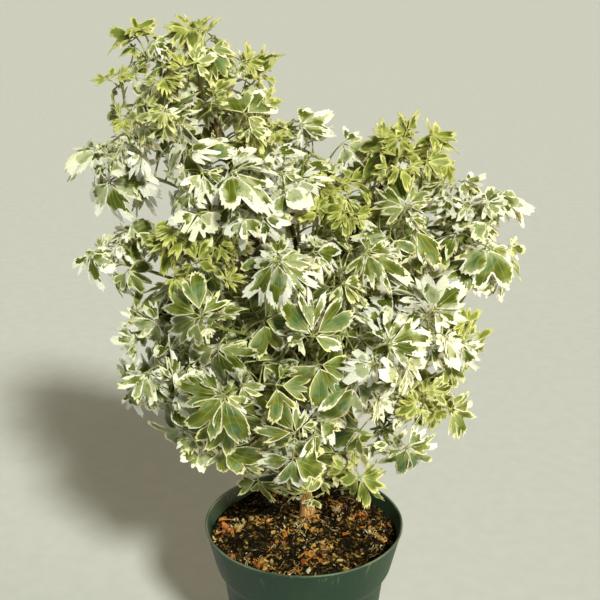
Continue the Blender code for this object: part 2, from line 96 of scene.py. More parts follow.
# Hollows in the soil, as (x, y, size), and heaps of bark chips on it, as (x, y, size, how pale from 0 to 1)
SOIL_HOLLOWS = ((-0.056, 0.028, 0.013), (-0.054, -0.016, 0.010), (0.034, -0.004, 0.010),
                (-0.014, 0.007, 0.005), (0.038, -0.030, 0.012))
CHIP_HEAPS = ((0.0027, -0.0367, 0.0050, 0.58), (0.0146, -0.0422, 0.0030, 0.52),
              (-0.0153, -0.0113, 0.0045, 0.60), (0.0073, 0.0117, 0.0060, 0.66),
              (0.0267, 0.0282, 0.0050, 0.54), (0.0441, 0.0221, 0.0060, 0.55),
              (0.0600, -0.0085, 0.0045, 0.68), (-0.0320, 0.0140, 0.0075, 0.62),
              (0.0300, -0.0499, 0.0050, 0.72), (-0.0312, -0.0409, 0.0060, 0.62),
              (0.0137, -0.0209, 0.0060, 0.76), (-0.0560, 0.0040, 0.0040, 0.50))

# Random heights: cells of the noise before it repeats
NOISE_CELLS = 64

# Loose bits on the soil: how many of each, and the chips in a heap for each metre of its size
CHIPS = 620
LARGE_CHIPS = 30
HEAP_CHIPS = 4000
CRUMBS = 1100
PERLITE_GRAINS = 70
FIBRES = 170

# Bits of dry leaf, as (x, y). The last few lie in a pile at the wall.
DRY_LEAVES = ((-0.0610, 0.0100), (-0.0600, -0.0030), (-0.0470, -0.0385), (-0.0149, -0.0165),
              (0.0023, -0.0435), (0.0082, -0.0453), (0.0151, -0.0453), (-0.0236, 0.0500),
              (0.0274, 0.0262), (0.0630, -0.0128), (0.0610, 0.0122), (0.0444, 0.0242),
              (-0.0400, 0.0300), (0.0120, 0.0580), (0.0300, -0.0100), (-0.0650, 0.0130),
              (-0.0640, 0.0085), (-0.0662, 0.0050), (-0.0630, -0.0040), (-0.0615, -0.0075),
              (-0.0640, -0.0015))
PILED_LEAVES = 6

# Woody frame: each limb leaves its parent at a height and runs through its own points
TRUNK_FOOT = (0.003, 0.016)
LIMBS = {
    "trunk": {
        "parent": None,
        "points": [(*TRUNK_FOOT, 0.1065), (0.002, 0.015, 0.150), (-0.004, 0.010, 0.200),
                   (-0.010, 0.006, 0.255), (-0.022, 0.003, 0.310), (-0.035, 0.001, 0.362),
                   (-0.046, 0.000, 0.408), (-0.058, 0.000, 0.440), (-0.073, 0.000, 0.470)],
        "radii": (0.0056, 0.0020), "steps": 12,
    },
    "right": {
        "parent": "trunk", "height": 0.176,
        "points": [(0.010, 0.010, 0.215), (0.018, 0.010, 0.270), (0.022, 0.012, 0.325), (0.038, 0.014, 0.368),
                   (0.055, 0.012, 0.400), (0.064, 0.008, 0.425)],
        "radii": (0.0040, 0.0016), "steps": 9,
    },
    "left_low": {
        "parent": "trunk", "height": 0.196,
        "points": [(-0.032, 0.000, 0.234), (-0.058, -0.006, 0.262), (-0.080, -0.012, 0.290)],
        "radii": (0.0032, 0.0016), "steps": 6,
    },
    "right_low": {
        "parent": "right", "height": 0.222,
        "points": [(0.044, 0.002, 0.262), (0.070, 0.000, 0.300),
                   (0.093, 0.001, 0.334), (0.106, -0.001, 0.354)],
        "radii": (0.0030, 0.0014), "steps": 7,
    },
    "front": {
        "parent": "trunk", "height": 0.166,
        "points": [(-0.003, -0.018, 0.212), (-0.006, -0.038, 0.262),
                   (0.002, -0.050, 0.312), (0.008, -0.048, 0.352)],
        "radii": (0.0032, 0.0015), "steps": 7,
    },
    "back": {
        "parent": "trunk", "height": 0.184,
        "points": [(0.002, 0.042, 0.226), (0.004, 0.060, 0.276),
                   (-0.004, 0.064, 0.330), (-0.014, 0.056, 0.382)],
        "radii": (0.0032, 0.0015), "steps": 7,
    },
}

# Leafy stems: the limb that each grows from, where it ends, its longest leaflet, its number of main leaves,
# and how white and how young its leaves are, both from 0 to 1
LEAFY_STEMS = {
    "crown_left": ("trunk", (-0.106, 0.000, 0.492), 0.025, 5, 0.30, 0.65),
    "crown_top": ("trunk", (-0.068, -0.004, 0.500), 0.025, 5, 0.25, 0.80),
    "crown_right": ("trunk", (-0.040, 0.004, 0.466), 0.026, 4, 0.30, 0.65),
    "crown_front": ("trunk", (-0.088, -0.026, 0.440), 0.028, 4, 0.50, 0.40),
    "left_hanging": ("trunk", (-0.126, -0.008, 0.418), 0.029, 5, 0.84, 0.15),
    "white_fan": ("trunk", (-0.046, -0.048, 0.410), 0.038, 4, 0.86, 0.00),
    "middle_top": ("right", (-0.006, 0.004, 0.430), 0.030, 4, 0.72, 0.10),
    "middle_young": ("right", (0.018, -0.028, 0.402), 0.026, 3, 0.20, 0.85),
    "right_top": ("right", (0.078, 0.004, 0.426), 0.028, 4, 0.25, 0.75),
    "right_hanging": ("right_low", (0.122, -0.004, 0.388), 0.030, 4, 0.55, 0.10),
    "right_hanging_low": ("right_low", (0.130, 0.002, 0.346), 0.027, 4, 0.60, 0.05),
    "right_upper": ("right", (0.062, -0.042, 0.386), 0.032, 4, 0.40, 0.15),
    "left_young": ("trunk", (-0.074, -0.046, 0.374), 0.027, 4, 0.10, 0.80),
    "left_long": ("trunk", (-0.140, -0.010, 0.354), 0.024, 4, 0.60, 0.05),
    "middle_left": ("front", (-0.014, -0.074, 0.366), 0.032, 4, 0.62, 0.15),
    "middle_right": ("front", (0.030, -0.062, 0.366), 0.031, 4, 0.46, 0.25),
    "left_outer": ("left_low", (-0.106, -0.016, 0.306), 0.031, 4, 0.68, 0.05),
    "left_outer_low": ("left_low", (-0.100, -0.040, 0.272), 0.032, 4, 0.60, 0.00),
    "front_left": ("front", (-0.054, -0.078, 0.328), 0.033, 4, 0.42, 0.05),
    "front_left_low": ("front", (-0.040, -0.092, 0.292), 0.038, 4, 0.20, 0.05),
    "front_middle": ("front", (0.004, -0.092, 0.322), 0.030, 3, 0.25, 0.10),
    "front_right": ("front", (0.040, -0.084, 0.312), 0.034, 4, 0.70, 0.05),
    "right_front": ("right_low", (0.074, -0.050, 0.322), 0.032, 4, 0.90, 0.00),
    "right_outer": ("right_low", (0.106, -0.008, 0.288), 0.029, 4, 0.20, 0.70),
    "right_outer_low": ("right_low", (0.092, -0.020, 0.246), 0.028, 3, 0.25, 0.60),
    "low_right": ("right_low", (0.056, -0.052, 0.242), 0.030, 4, 0.50, 0.10),
    "low_left": ("left_low", (-0.072, -0.066, 0.250), 0.031, 4, 0.45, 0.10),
    "low_front": ("front", (-0.004, -0.086, 0.262), 0.032, 4, 0.45, 0.05),
    "foot_left": ("trunk", (-0.034, -0.040, 0.214), 0.025, 3, 0.15, 0.35),
    "foot_middle": ("trunk", (0.002, -0.030, 0.190), 0.023, 3, 0.25, 0.40),
    "foot_right": ("right", (0.032, -0.036, 0.210), 0.027, 3, 0.15, 0.60),
    "back_crown": ("trunk", (-0.062, 0.038, 0.442), 0.030, 3, 0.35, 0.40),
    "back_top": ("back", (-0.012, 0.052, 0.408), 0.032, 4, 0.45, 0.15),
    "back_right_top": ("right", (0.052, 0.050, 0.392), 0.031, 3, 0.35, 0.30),
    "back_left_top": ("trunk", (-0.082, 0.044, 0.368), 0.031, 3, 0.45, 0.10),
    "back_middle": ("back", (-0.004, 0.092, 0.350), 0.034, 3, 0.35, 0.10),
    "back_right": ("right_low", (0.082, 0.054, 0.330), 0.032, 3, 0.45, 0.10),
    "back_left": ("left_low", (-0.084, 0.050, 0.300), 0.033, 3, 0.40, 0.10),
    "back_middle_left": ("back", (-0.044, 0.086, 0.304), 0.033, 3, 0.30, 0.15),
    "back_middle_right": ("back", (0.042, 0.084, 0.298), 0.033, 3, 0.50, 0.05),
    "back_low_right": ("right_low", (0.076, 0.044, 0.256), 0.031, 3, 0.35, 0.25),
    "back_low": ("back", (0.002, 0.078, 0.256), 0.030, 3, 0.45, 0.10),
    "back_low_left": ("left_low", (-0.066, 0.050, 0.258), 0.030, 3, 0.30, 0.20),
}

# Leafy stems with young leaves only, whose leaflets are all fine
YOUNG = ("crown_left", "crown_top", "left_young", "middle_young", "right_top", "right_outer",
         "right_outer_low")

# A stem: its radii at root and tip, its net, how far its root lies below its tip for each metre out, its
# arch, and how far each new try shifts it
STEM_RADII = (0.0015, 0.0010)
STEM_STEPS = 5
STEM_SIDES = 4
ROOT_FALL = 0.55
STEM_ARCH = 0.10
STEM_SHIFT = 0.0012

# Compound leaf: the leaflets' angles from the leaf's axis and their lengths as shares of the longest
BROAD_LEAF = {"angles": (-98, -49, 0, 49, 98), "lengths": (0.68, 0.88, 1.0, 0.88, 0.68), "half_width": 19.5}
SMALL_LEAF = {"angles": (-64, 0, 64), "lengths": (0.84, 1.0, 0.84), "half_width": 24.0}
HAND_LEAF = {"angles": (-82, -41, 0, 41, 82), "lengths": (0.70, 0.90, 1.0, 0.90, 0.70), "half_width": 18.0}
HAND_SHARE = 0.40
BROAD_LEAVES = 1
LOBE_REACHES = (0.85, 1.0)
LOBE_NOTCH_REACH = 0.78
RIB_CUT_REACH = 0.15
LEAF_ARCH = 0.30
LEAF_DROOP = 0.30
LEAF_RISE = 0.25
LEAF_LEAN = (50, 76)
LEAF_ROLL = 16
LEAF_SIZES = (0.88, 1.12)
SHRINKING = (1.0, 0.9, 0.8, 0.68, 0.56)
END_LEAF_POLAR = (4, 22)
RING_LEAF_POLAR = (50, 80)
RING_LEAF_SWING = 14
LEAFLET_SWING = 5.0
LEAFLET_VARIATION = 0.12
LEAFLET_FOLD = 0.16
BLADE = 0.0010
PETIOLE = 0.0013
PETIOLE_SHARE = 0.62
PETIOLE_SPREAD = (0.85, 1.15)
HUB_WIDTH = 0.0018
LEAF_SPACING = 0.0075
LEAF_MARGIN = 0.0004
LEAST_LEAF_HEIGHT = 0.150
LEAST_LEAN = 0.0
MOST_TRIES = 60
SEED = 12

# Camera, directions, and the depths between which leaves begin to turn to the light at the plant's front
CAMERA_PLACE = (-0.003, -0.707, 0.570)
CAMERA_TARGET = (-0.003, 0.0, 0.32)
CAMERA_VIEW = 32
CROWN_CENTRE = np.array([0.0, 0.0, 0.300])
UP = np.array([0.0, 0.0, 1.0])
FRONT = np.array([0.0, -1.0, 0.0])
LIGHT_FROM = 0.042
LIGHT_FADE = 0.060

# Small leaves between the main ones: leaf spaces below the stem's tip, size, and lean from the stem's axis
SMALL_LEAVES = [(-0.25, 0.46, (0, 26)), (-0.1, 0.56, (20, 60)), (0.7, 0.66, (30, 70)),
                (1.5, 0.72, (40, 80)), (2.3, 0.70, (40, 85)), (3.1, 0.74, (45, 90)),
                (4.0, 0.72, (45, 95)), (5.0, 0.76, (50, 100)), (6.2, 0.76, (50, 105)),
                (7.6, 0.80, (50, 110)), (9.2, 0.84, (50, 110)), (11.5, 0.88, (50, 115))]
SMALL_LEAF_TRIES = 24
SMALL_LEAF_DROOP = 0.80
SMALL_LEAF_ROLL = 36
YOUNG_LEAF_RISE = 1.10

# Places that small leaves leave open, as (x, z, radius) of a disc at y = 0, seen from the camera: gaps in
# the crown, the woody limb that shows in its upper left, and the trunk
OPEN_PLACES = np.array([(-0.116, 0.3885, 0.017), (-0.120, 0.3360, 0.017), (0.107, 0.3350, 0.015),
                        (0.030, 0.4310, 0.013), (0.036, 0.4190, 0.009), (-0.169, 0.4190, 0.014),
                        (-0.0770, 0.4740, 0.0045), (-0.0735, 0.4670, 0.0045), (-0.0700, 0.4600, 0.0045),
                        (-0.0660, 0.4530, 0.0050), (-0.0630, 0.4460, 0.0050), (-0.0605, 0.4390, 0.0050),
                        (-0.0580, 0.4320, 0.0050), (-0.0560, 0.4250, 0.0050), (0.0055, 0.1550, 0.0090),
                        (0.0111, 0.2470, 0.0030)])

# Sprigs in the order that they grow: the leafy stem, and where each of its next sprigs ends, in millimetres
SPRIGS = (
    ("crown_left", [(-117, 0, 450), (-123, -5, 471), (-112, 10, 483), (-89, -30, 476)]),
    ("left_hanging", [(-120, 0, 437), (-130, -18, 422), (-132, -10, 400), (-108, -30, 435)]),
    ("crown_top", [(-66, 2, 498), (-56, 10, 488), (-45, -10, 481), (-73, -30, 481)]),
    ("crown_right", [(-33, 0, 451), (-24, 0, 440), (-34, 8, 473), (-33, -10, 434), (-17, 12, 431)]),
    ("crown_front", [(-99, -40, 456), (-81, -50, 458), (-60, -40, 462)]),
    ("middle_top", [(2, -10, 415), (10, -14, 404), (-3, -20, 409)]),
    ("right_top", [(60, -4, 422), (69, 0, 428), (83, 0, 433), (92, 0, 423), (59, -30, 421)]),
    ("right_hanging", [(106, -4, 398), (114, -22, 390), (95, -20, 402), (128, -4, 383)]),
    ("right_hanging_low", [(130, 0, 338), (136, 0, 357)]),
    ("left_outer", [(-106, -14, 316), (-102, -34, 302), (-98, -20, 325)]),
    ("left_outer_low", [(-96, -48, 290), (-84, -58, 276)]),
    ("right_outer", [(116, 0, 286), (106, -20, 305)]),
    ("right_outer_low", [(101, 0, 250), (96, -20, 246), (76, -50, 265)]),
    ("left_long", [(-133, 0, 356), (-119, -10, 368)]),
    ("crown_left", [(-103, 0, 501)]),
    ("white_fan", [(-77, -45, 410), (-67, -45, 424), (-46, -50, 427), (-25, -45, 427), (-11, -45, 413),
                   (-30, -62, 398), (-60, -60, 400)]),
    ("left_outer", [(-90, -36, 314), (-84, -46, 300)]),
    ("left_outer_low", [(-94, -30, 284), (-80, -64, 290)]),
    ("low_left", [(-70, -72, 268)]),
    ("left_long", [(-126, -12, 350), (-106, -18, 376)]),
    ("front_right", [(52, -92, 306), (34, -96, 300)]),
    ("right_front", [(84, -60, 318), (70, -68, 306), (92, -40, 306)]),
    ("left_young", [(-88, -40, 372), (-77, -52, 384), (-64, -44, 386), (-54, -58, 374), (-83, -50, 360),
                    (-66, -64, 367), (-56, -60, 356)]),
    ("middle_young", [(0, -30, 394), (9, -34, 403), (19, -30, 406), (30, -26, 404), (26, -40, 394),
                      (11, -46, 392)]),
    ("right_top", [(54, -6, 429), (65, -12, 434), (77, -8, 435), (88, -6, 427), (70, -24, 423),
                   (58, -24, 416), (84, -18, 418)]),
    ("crown_top", [(-68, 0, 503), (-74, -6, 499)]),
    ("left_long", [(-106, -14, 367), (-120, -12, 359)]),
)

# A sprig's leaves, in the terms of the small leaves, its leaves' sizes on most stems and on some, its arch,
# and the stretch of its stem that it may leave, in steps
SPRIG_LEAVES = [(-0.28, 0.95, (0, 30)), (-0.1, 0.85, (35, 70)), (0.1, 1.0, (40, 75)), (0.45, 0.9, (45, 80)),
                (0.8, 1.0, (50, 85)), (1.2, 1.0, (55, 95))]
SPRIG_SIZE = 0.62
LARGE_SPRIG_SIZE = 0.80
SPRIG_ARCH = 0.15
SPRIG_ROOTS = 30
SPRIG_ROOT_RANGE = slice(6, 26)
LARGE_SPRIGS = ("left_outer", "left_outer_low", "low_left", "front_right", "right_front")

# Main leaves whose leaflets are shorter, so that their tips don't come through a neighbour or hide the
# wood: the leafy stem and the leaf's number
SHORT_LEAVES = {("front_left_low", 1): 0.78, ("foot_middle", 1): 0.55, ("crown_right", 2): 0.64}

# Leafy stems whose lower leaves are full-grown, and by how much less young they are than those at the tip
GROWN_LEAVES = {"crown_left": 0.35, "crown_top": 0.40, "crown_right": 0.35, "crown_front": 0.15,
                "left_young": 0.25}

# Twigs straight on the limbs, inside the crown: how many on each limb, between which shares of its length
INNER_TWIGS = {"trunk": 12, "right": 9, "left_low": 6, "right_low": 6, "front": 9, "back": 8}
INNER_SHARES = (0.22, 0.92)
INNER_ROOTS = 60
INNER_REACH = 0.024
INNER_RISE = 0.45
TWIG_TURN = 137.5
LIMB_TURN = 70
INNER_STEM = {"number": 90, "white": 0.25, "youth": 0.08, "count": 3, "length": 0.026, "turn": 0.0}

# First numbers of the random draws of sprigs, of twigs and of each stem's small leaves
SPRIG_NUMBERS = 400
TWIG_NUMBERS = 500
SMALL_LEAF_NUMBERS = 20

# Leaflets: points across, rows of points from base to margin as shares, for main leaves and small ones, half
# angles by the number of leaflets, and the distance to an edge, in millimetres, that stalks carry
FINE_NET = {"columns": 13, "rows": (0.38, 0.55)}
PLAIN_NET = {"columns": 7, "rows": (0.52,)}
LEAFLET_THICKNESS = 0.00036
LEAFLET_HALF_ANGLES = {5: 33.0, 3: 40.0}
FAR_FROM_EDGE = 50

# Bark: steps along and sides round the trunk and the limbs, the trunk's wide foot, and scars of old leaves,
# each turned from the one before by a share of a full turn
TRUNK_NET = (230, 18)
LIMB_NET = (110, 12)
FOOT_FLARE = 0.0016
FOOT_FLARE_TOP = 0.130
FOOT_FLARE_REACH = 0.010
FIRST_SCAR = 0.012
SCAR_SPACING = 0.0052
SCAR_SHIFT = 0.0012
SCAR_TURN = 0.382
SCAR_LENGTH = 0.0009
SCAR_HEIGHT = 0.0004

# Studio: the floor's reach, the strength of the pale world as the camera sees it and as a light, and
# distant lights, each with its place, its width in degrees, its strength and its colour
FLOOR_REACH = 80
WORLD_SEEN = 0.72
WORLD_LIGHT = 0.03
LIGHT_TARGET = (0, 0, 0.28)
LIGHTS = (
    ("key", (0.42, -0.95, 1.08), 8, 3.74, (250, 252, 228)),
    ("side", (1.20, -0.35, 0.40), 27, 1.60, (255, 230, 188)),
    ("rim", (0.85, 0.50, 0.38), 20, 1.80, (255, 240, 196)),
    ("top", (-0.20, 0.50, 1.50), 30, 0.15, (255, 244, 190)),
    ("back", (-0.90, 0.80, 1.10), 40, 0.65, (255, 248, 206)),
)


def unit(v):
    return v / np.linalg.norm(v, axis=-1, keepdims=True)


def colour(red, green, blue):
    """Linear colour from the values that a screen shows."""
    c = np.array([red, green, blue]) / 255
    return (*np.where(c < 0.04045, c / 12.92, ((c + 0.055) / 1.055) ** 2.4), 1.0)


def smooth_path(points, count):
    """Catmull-Rom curve through the points, read at even steps of its parameter."""
    p = np.array(points, float)
    p = np.vstack([2 * p[0] - p[1], p, 2 * p[-1] - p[-2]])
    t = np.linspace(0, len(p) - 3 - 1e-9, count)
    i = t.astype(int)
    u = (t - i)[:, None]
    a, b, c, d = p[i], p[i + 1], p[i + 2], p[i + 3]
    return 0.5 * (2 * b + (c - a) * u + (2 * a - 5 * b + 4 * c - d) * u**2 + (3 * b - a - 3 * c + d) * u**3)


def arc(start, end, middle, steps):
    """Quadratic curve from start to end by way of middle, or one for each row of them."""
    t = np.linspace(0, 1, steps)[:, None]
    start, end, middle = (points[..., None, :] for points in (start, end, middle))
    return (1 - t) ** 2 * start + 2 * t * (1 - t) * middle + t**2 * end


def at_height(line, z):
    """Point of a rising line at height z."""
    return np.array([np.interp(z, line[:, 2], line[:, 0]), np.interp(z, line[:, 2], line[:, 1]), z])


def limb_lines():
    """Centre line and radius of each limb, read at its own number of steps."""
    lines = {}
    for name, limb in LIMBS.items():
        points = limb["points"]
        if limb["parent"]:
            points = [at_height(lines[limb["parent"]][0], limb["height"]), *points]
        line = smooth_path(points, limb["steps"])
        lines[name] = (line, np.linspace(*limb["radii"], limb["steps"]))
    return lines


def bands(rings, sides):
    """Quads between rings of points that follow each other."""
    i, j = np.divmod(np.arange((rings - 1) * sides), sides)
    k = (j + 1) % sides
    return np.column_stack([i * sides + j, i * sides + k, (i + 1) * sides + k, (i + 1) * sides + j])


def fan(pole, first, sides):
    """Triangles from a pole to a ring of points that starts at the first."""
    j = np.arange(sides)
    return np.column_stack([np.full(sides, pole), first + j, first + (j + 1) % sides])


def prism(line, radii, sides):
    """Points and faces of a tube with flat sides round a line, open at its ends, for the clearance tests."""
    along = unit(np.gradient(line, axis=0))
    side = unit(np.cross(along, unit(np.array([0.3, 0.2, 1.0]))))
    turn = np.linspace(0, 2 * np.pi, sides, endpoint=False)[:, None]
    ring = np.cos(turn) * side[:, None] + np.sin(turn) * np.cross(along, side)[:, None]
    points = (line[:, None] + ring * np.asarray(radii)[:, None, None]).reshape(-1, 3)
    return points, bands(len(line), sides).tolist()


def stem_line(limb, tip, jitter):
    """An arched line from the limb to the tip. It leaves the limb below the tip by a share of the distance
    out."""
    tip = np.array(tip)
    out = np.linalg.norm(tip[:2] - at_height(limb, tip[2])[:2])
    height = np.clip(tip[2] - ROOT_FALL * out, limb[1, 2], limb[-1, 2] - 0.002)
    height = max(height - abs(jitter[0]), limb[0, 2] + 0.012)
    root = at_height(limb, height)
    reach = np.linalg.norm(tip - root)
    middle = (root + tip) / 2 + UP * STEM_ARCH * reach + np.array([jitter[1], jitter[2], 0]) * 0.5
    return arc(root, tip, middle, STEM_STEPS)


def leaf_outline(leaf):
    """The leaf's outline as (distance from the hub, angle, fold), round from one side of the petiole to the
    other."""
    half, angles, reach = leaf["half_width"], leaf["angles"], leaf["reach"]
    points = [(HUB_WIDTH * 0.75, -145.0, 0.0)]
    for i, (angle, r) in enumerate(zip(angles, reach)):
        if i:
            points.append((RIB_CUT_REACH * leaf["length"], (angle + angles[i - 1]) / 2, 0.0))
        first, second = LOBE_REACHES if i % 2 else LOBE_REACHES[::-1]
        points.append((first * r, angle - half, 1.0))
        points.append((LOBE_NOTCH_REACH * r, angle + half * (second - first), 0.0))
        points.append((second * r, angle + half, 1.0))
    points.append((HUB_WIDTH * 0.75, 145.0, 0.0))
    return np.array(points)


def blade_points(leaf, grow=0.0):
    """Hub first, then the outline, in space. A point drops with the square of its distance from the hub,
    and the corners of a leaflet stand above its rib."""
    r, angle, fold = leaf_outline(leaf).T
    r = r + grow
    a = np.radians(angle)
    lift = LEAFLET_FOLD * fold * r - LEAF_ARCH * r**2 / leaf["length"]
    flat = (np.outer(r * np.cos(a), leaf["forward"]) + np.outer(r * np.sin(a), leaf["side"])
            + np.outer(lift, leaf["normal"]))
    return leaf["hub"] + np.vstack([np.zeros(3), flat])


def leaf_frame(spray, k, attempt, rng, small=None):
    """Where leaf k of a leafy stem stands. The first is near the stem's tip and the others stand round it.
    Each blade leans over from its petiole, hangs a little, and at the plant's front turns to the light
    there. A small leaf has its own place along the stem, size and lean, and any turn."""
    line, axis, count = spray["line"], spray["axis"], spray["count"]
    place, size, leans = small or (k, 1.0, END_LEAF_POLAR if k == 0 and count > 2 else RING_LEAF_POLAR)
    slack = 1 + attempt / 12
    shrunk = SHRINKING[attempt * len(SHRINKING) // MOST_TRIES]
    length = spray["length"] * rng.uniform(*LEAF_SIZES) * shrunk * size
    back = min((0.3 + place) * LEAF_SPACING / np.linalg.norm(line[-1] - line[-2]), STEM_STEPS - 1.6)
    i = int(back)
    root = line[-1 - i] + (line[-2 - i] - line[-1 - i]) * (back - i)
    polar = rng.uniform(*leans)
    azimuth = spray["turn"] + 360 * k / max(count - 1, 1) + rng.uniform(-1, 1) * RING_LEAF_SWING * slack
    if small:
        azimuth = rng.uniform(0, 360)
    across = unit(np.cross(axis, UP))
    p, q = np.radians((polar, azimuth))
    around = np.cos(q) * np.cross(across, axis) + np.sin(q) * across
    outward = np.cos(p) * axis + np.sin(p) * around
    away = np.cos(p) * around - np.sin(p) * axis
    lean = np.radians(rng.uniform(*LEAF_LEAN))
    light = np.clip((LIGHT_FROM - root[1]) / LIGHT_FADE, 0, 1)
    normal = unit(np.sin(lean) * outward - np.cos(lean) * away + LEAF_RISE * UP + light * FRONT)
    droop = SMALL_LEAF_DROOP - YOUNG_LEAF_RISE * spray["youth"] if small else LEAF_DROOP
    forward = np.cos(lean) * outward + np.sin(lean) * away - droop * UP
    forward = unit(forward - normal * (forward @ normal))
    roll = np.radians(rng.uniform(-1, 1) * (SMALL_LEAF_ROLL if small else LEAF_ROLL) * slack)
    normal = np.cos(roll) * normal + np.sin(roll) * np.cross(normal, forward)
    form = BROAD_LEAF if k < BROAD_LEAVES else SMALL_LEAF
    if small and rng.uniform() < HAND_SHARE:
        form = HAND_LEAF
    number = len(form["angles"])
    return {"root": root, "hub": root + outward * length * PETIOLE_SHARE * rng.uniform(*PETIOLE_SPREAD),
            "forward": forward, "side": np.cross(normal, forward), "normal": normal, "length": length,
            "angles": np.array(form["angles"]) + rng.uniform(-LEAFLET_SWING, LEAFLET_SWING, number),
            "reach": length * np.array(form["lengths"]) * (1 - LEAFLET_VARIATION * rng.uniform(0, 1, number)),
            "half_width": form["half_width"], "place": place, "small": bool(small)}


def leaf_shell(leaf):
    """Points and faces of the leaf's outside grown by the margin, for the clearance tests: blade and
    petiole."""
    top = blade_points(leaf, LEAF_MARGIN) + leaf["normal"] * LEAF_MARGIN
    low = top - leaf["normal"] * (BLADE + 2 * LEAF_MARGIN)
    n = len(top)
    a = np.arange(1, n)
    b = np.roll(a, -1)
    hub = np.zeros_like(a)
    faces = [*np.column_stack([hub, a, b]).tolist(), *np.column_stack([hub + n, b + n, a + n]).tolist(),
             *np.column_stack([a, a + n, b + n, b]).tolist()]
    reach = leaf["hub"] - leaf["root"]
    start = leaf["root"] + unit(reach) * 3.0 * STEM_RADII[0]
    stalk, sides = prism(np.array([start, leaf["hub"]]), [PETIOLE * 0.8 + LEAF_MARGIN] * 2, 4)
    faces += (np.array(sides) + 2 * n).tolist()
    return np.vstack([top, low, stalk]), faces


class Placed:
    """The shapes that stand already, each with a ball round it that rules most of them out at once."""

    def __init__(self):
        self.trees = []
        self.balls = np.zeros((0, 4))

    def add(self, points, faces):
        self.trees.append(BVHTree.FromPolygons(points.tolist(), faces))
        self.balls = np.vstack([self.balls, self.ball(points)])

    @staticmethod
    def ball(points):
        centre = (points.min(0) + points.max(0)) / 2
        return np.array([*centre, np.linalg.norm(points - centre, axis=1).max()])

    def clear_of(self, points, faces):
        x, y, z, radius = self.ball(points)
        near = np.linalg.norm(self.balls[:, :3] - (x, y, z), axis=1) < radius + self.balls[:, 3]
        if not near.any():
            return True
        tree = BVHTree.FromPolygons(points.tolist(), faces)
        return not any(tree.overlap(self.trees[i]) for i in np.flatnonzero(near))


def grow_stem(spray, limb, tip, wood, stems):
    """Turns the stem's root and arch until it is clear of the limbs beyond its root and of the other
    stems."""
    for attempt in range(MOST_TRIES):
        line = stem_line(limb, tip, spray["rng"].uniform(-1, 1, 3) * STEM_SHIFT * attempt)
        points, faces = prism(line, np.linspace(*STEM_RADII, STEM_STEPS) + LEAF_MARGIN, STEM_SIDES)
        beyond_root = (np.array(faces[STEM_SIDES:]) - STEM_SIDES).tolist()
        if stems.clear_of(points, faces) and wood.clear_of(points[STEM_SIDES:], beyond_root):
            stems.add(points, faces)
            return line
    raise ValueError("no clear way for a stem")


def in_the_open(points):
    """True if a point of the leaf, seen from the camera, lies on a disc that stays open. A point p is seen at
    eye + (p - eye) * t, where t brings it to y = 0."""
    eye = np.array(CAMERA_PLACE)
    way = points - eye
    seen = eye + way * (-eye[1] / way[:, 1:2])
    off = np.hypot(seen[:, :1] - OPEN_PLACES[:, 0], seen[:, 2:] - OPEN_PLACES[:, 1])
    return (off < OPEN_PLACES[:, 2]).any()


def grow_leaf(spray, k, placed, small=None):
    """Turns leaf k until it is clear of all that is placed, or else makes it smaller, and adds it to its
    stem. Leaves it out if nothing helps."""
    rng = np.random.default_rng([SEED, spray["number"], k + 1])
    for attempt in range(SMALL_LEAF_TRIES if small else MOST_TRIES):
        leaf = leaf_frame(spray, k, attempt, rng, small)
        points, faces = leaf_shell(leaf)
        leans_back = leaf["forward"] @ unit(leaf["hub"] - leaf["root"]) < LEAST_LEAN
        if leans_back or points[:, 2].min() < LEAST_LEAF_HEIGHT or small and in_the_open(points):
            continue
        if placed.clear_of(points, faces):
            placed.add(points, faces)
            spray["leaves"].append(leaf)
            return


def grow_side_stem(spray, placed, **own):
    """A side stem of a stem, with its own number, line, axis, turn and length, and with small leaves."""
    spray["sprigs"].append(own["line"])
    for k, small in enumerate(SPRIG_LEAVES):
        grow_leaf({**spray, **own}, 1 + k, placed, small)


def grow_sprig(spray, number, tip, placed):
    """A thin side stem from the middle part of a leafy stem to its own tip, with a few small leaves."""
    number = SPRIG_NUMBERS + number
    rng = np.random.default_rng([SEED, number])
    start = smooth_path(spray["line"], SPRIG_ROOTS)[SPRIG_ROOT_RANGE]
    root = start[np.argmin(np.linalg.norm(start - tip, axis=1))]
    middle = (root + tip) / 2 + UP * SPRIG_ARCH * np.linalg.norm(tip - root)
    line = arc(root, tip, middle, STEM_STEPS)
    axis = unit(unit(tip - CROWN_CENTRE) + 0.3 * UP + 0.7 * unit(line[-1] - line[-2]))
    length = spray["length"] * (LARGE_SPRIG_SIZE if spray["name"] in LARGE_SPRIGS else SPRIG_SIZE)
    turn = rng.uniform(0, 360)
    grow_side_stem(spray, placed, number=number, line=line, axis=axis, turn=turn, length=length)


def grow_inner(limbs, placed):
    """Twigs on the limbs, each turned from the one below it, whose leaves fill the crown's inside."""
    inner = {**INNER_STEM, "leaves": [], "sprigs": []}
    for number, (name, (line, _)) in enumerate(limbs.items()):
        fine = smooth_path(line, INNER_ROOTS)
        for k, share in enumerate(np.linspace(*INNER_SHARES, INNER_TWIGS[name])):
            root = fine[int((INNER_ROOTS - 1) * share)]
            turn = np.radians(TWIG_TURN * k + LIMB_TURN * number)
            tip = root + INNER_REACH * np.array([np.cos(turn), np.sin(turn), INNER_RISE])
            middle = (root + tip) / 2 + UP * SPRIG_ARCH * INNER_REACH
            twig = arc(root, tip, middle, STEM_STEPS)
            axis = unit(unit(tip - root) + 0.4 * UP)
            grow_side_stem(inner, placed, number=TWIG_NUMBERS + 20 * number + k, line=twig, axis=axis)
    inner["line"] = inner["sprigs"].pop()
    return inner


